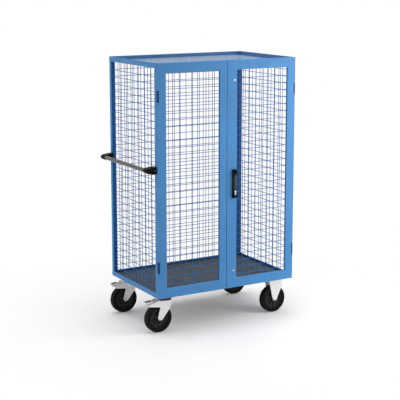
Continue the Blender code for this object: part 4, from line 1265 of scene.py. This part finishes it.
# %% Floor
FLOOR_SIZE = 30
FLOOR_PALE = 0.85
FLOOR_SEEN = (1.1, 1.085, 1.07)
FLOOR_GLOW = 0.13
FADE_FROM, FADE_TO = 0.75, 2.0
floor_mesh = make_mesh("floor", [block((-FLOOR_SIZE, -FLOOR_SIZE, -0.02), (FLOOR_SIZE, FLOOR_SIZE, -0.0005))])
tidy_mesh(floor_mesh)
floor = bpy.data.objects.new("floor", floor_mesh)
bpy.context.collection.objects.link(floor)
floor_material, tree, shader, place = new_finish("floor_white")
tree.nodes.remove(shader)
seen = seen_directly(tree)
plain = add_node(tree, "ShaderNodeBsdfDiffuse", Color=blend(tree, seen, (FLOOR_PALE,) * 3, FLOOR_SEEN))
glow = add_node(tree, "ShaderNodeEmission", Strength=1.0)
distance = add_node(tree, "ShaderNodeVectorMath", {"operation": "LENGTH"}, Vector=place).outputs["Value"]
share = add_node(
    tree, "ShaderNodeMapRange", {"interpolation_type": "SMOOTHSTEP"},
    Value=distance, From_Min=FADE_FROM, From_Max=FADE_TO, To_Min=FLOOR_GLOW,
).outputs["Result"]
show(tree, "Material Output", combine(tree, "MULTIPLY", seen, share), plain, glow)
floor_mesh.materials.append(floor_material)
print("floor glows from", FLOOR_GLOW, "near the cart to 1 at", FADE_TO, "m")

# %% [markdown]
# The world lights the cart softly from all sides, and is plain white where it is seen.

# %% World
AMBIENT = 0.44
world = bpy.data.worlds.new("studio")
bpy.context.scene.world = world
world.use_nodes = True
tree = world.node_tree
ambient = tree.nodes["Background"]
connect(tree, ambient, Color=(1, 1, 1), Strength=AMBIENT)
white = add_node(tree, "ShaderNodeBackground", Color=(1, 1, 1), Strength=1.0)
show(tree, "World Output", seen_directly(tree), ambient, white)
print("world strength on the cart", AMBIENT)

# %% [markdown]
# Four soft lamps shape the cart: a large one overhead, one from the left, a weak one in front, and a tall
# one near the right front edge, because the photograph's doors brighten evenly from left to right.

# %% Lamps
TARGET = (0, 0, 1)


def lamp(name, place, width, height, power):
    """A soft lamp of a width and height in metres that points at the middle of the cart."""
    light = bpy.data.lights.new(name, "AREA")
    light.shape = "RECTANGLE"
    light.size = width
    light.size_y = height
    light.energy = power
    obj = bpy.data.objects.new(name, light)
    obj.location = place
    away = np.array(place) - TARGET
    obj.rotation_euler = (
        math.atan2(math.hypot(away[0], away[1]), away[2]), 0, math.atan2(away[0], -away[1])
    )
    obj.visible_camera = False
    bpy.context.collection.objects.link(obj)
    print(name, "lamp of", power, "W")


lamp("overhead", (-0.3, 1.2, 6.0), 4, 4, 140)
lamp("left", (-5.0, 0.6, 4.0), 3, 3, 45)
lamp("front", (1.4, -6.0, 3.0), 3, 3, 22)
lamp("right_front", (1.45, -1.4, 1.6), 0.6, 2.3, 22)
bpy.context.scene.view_settings.view_transform = "Standard"
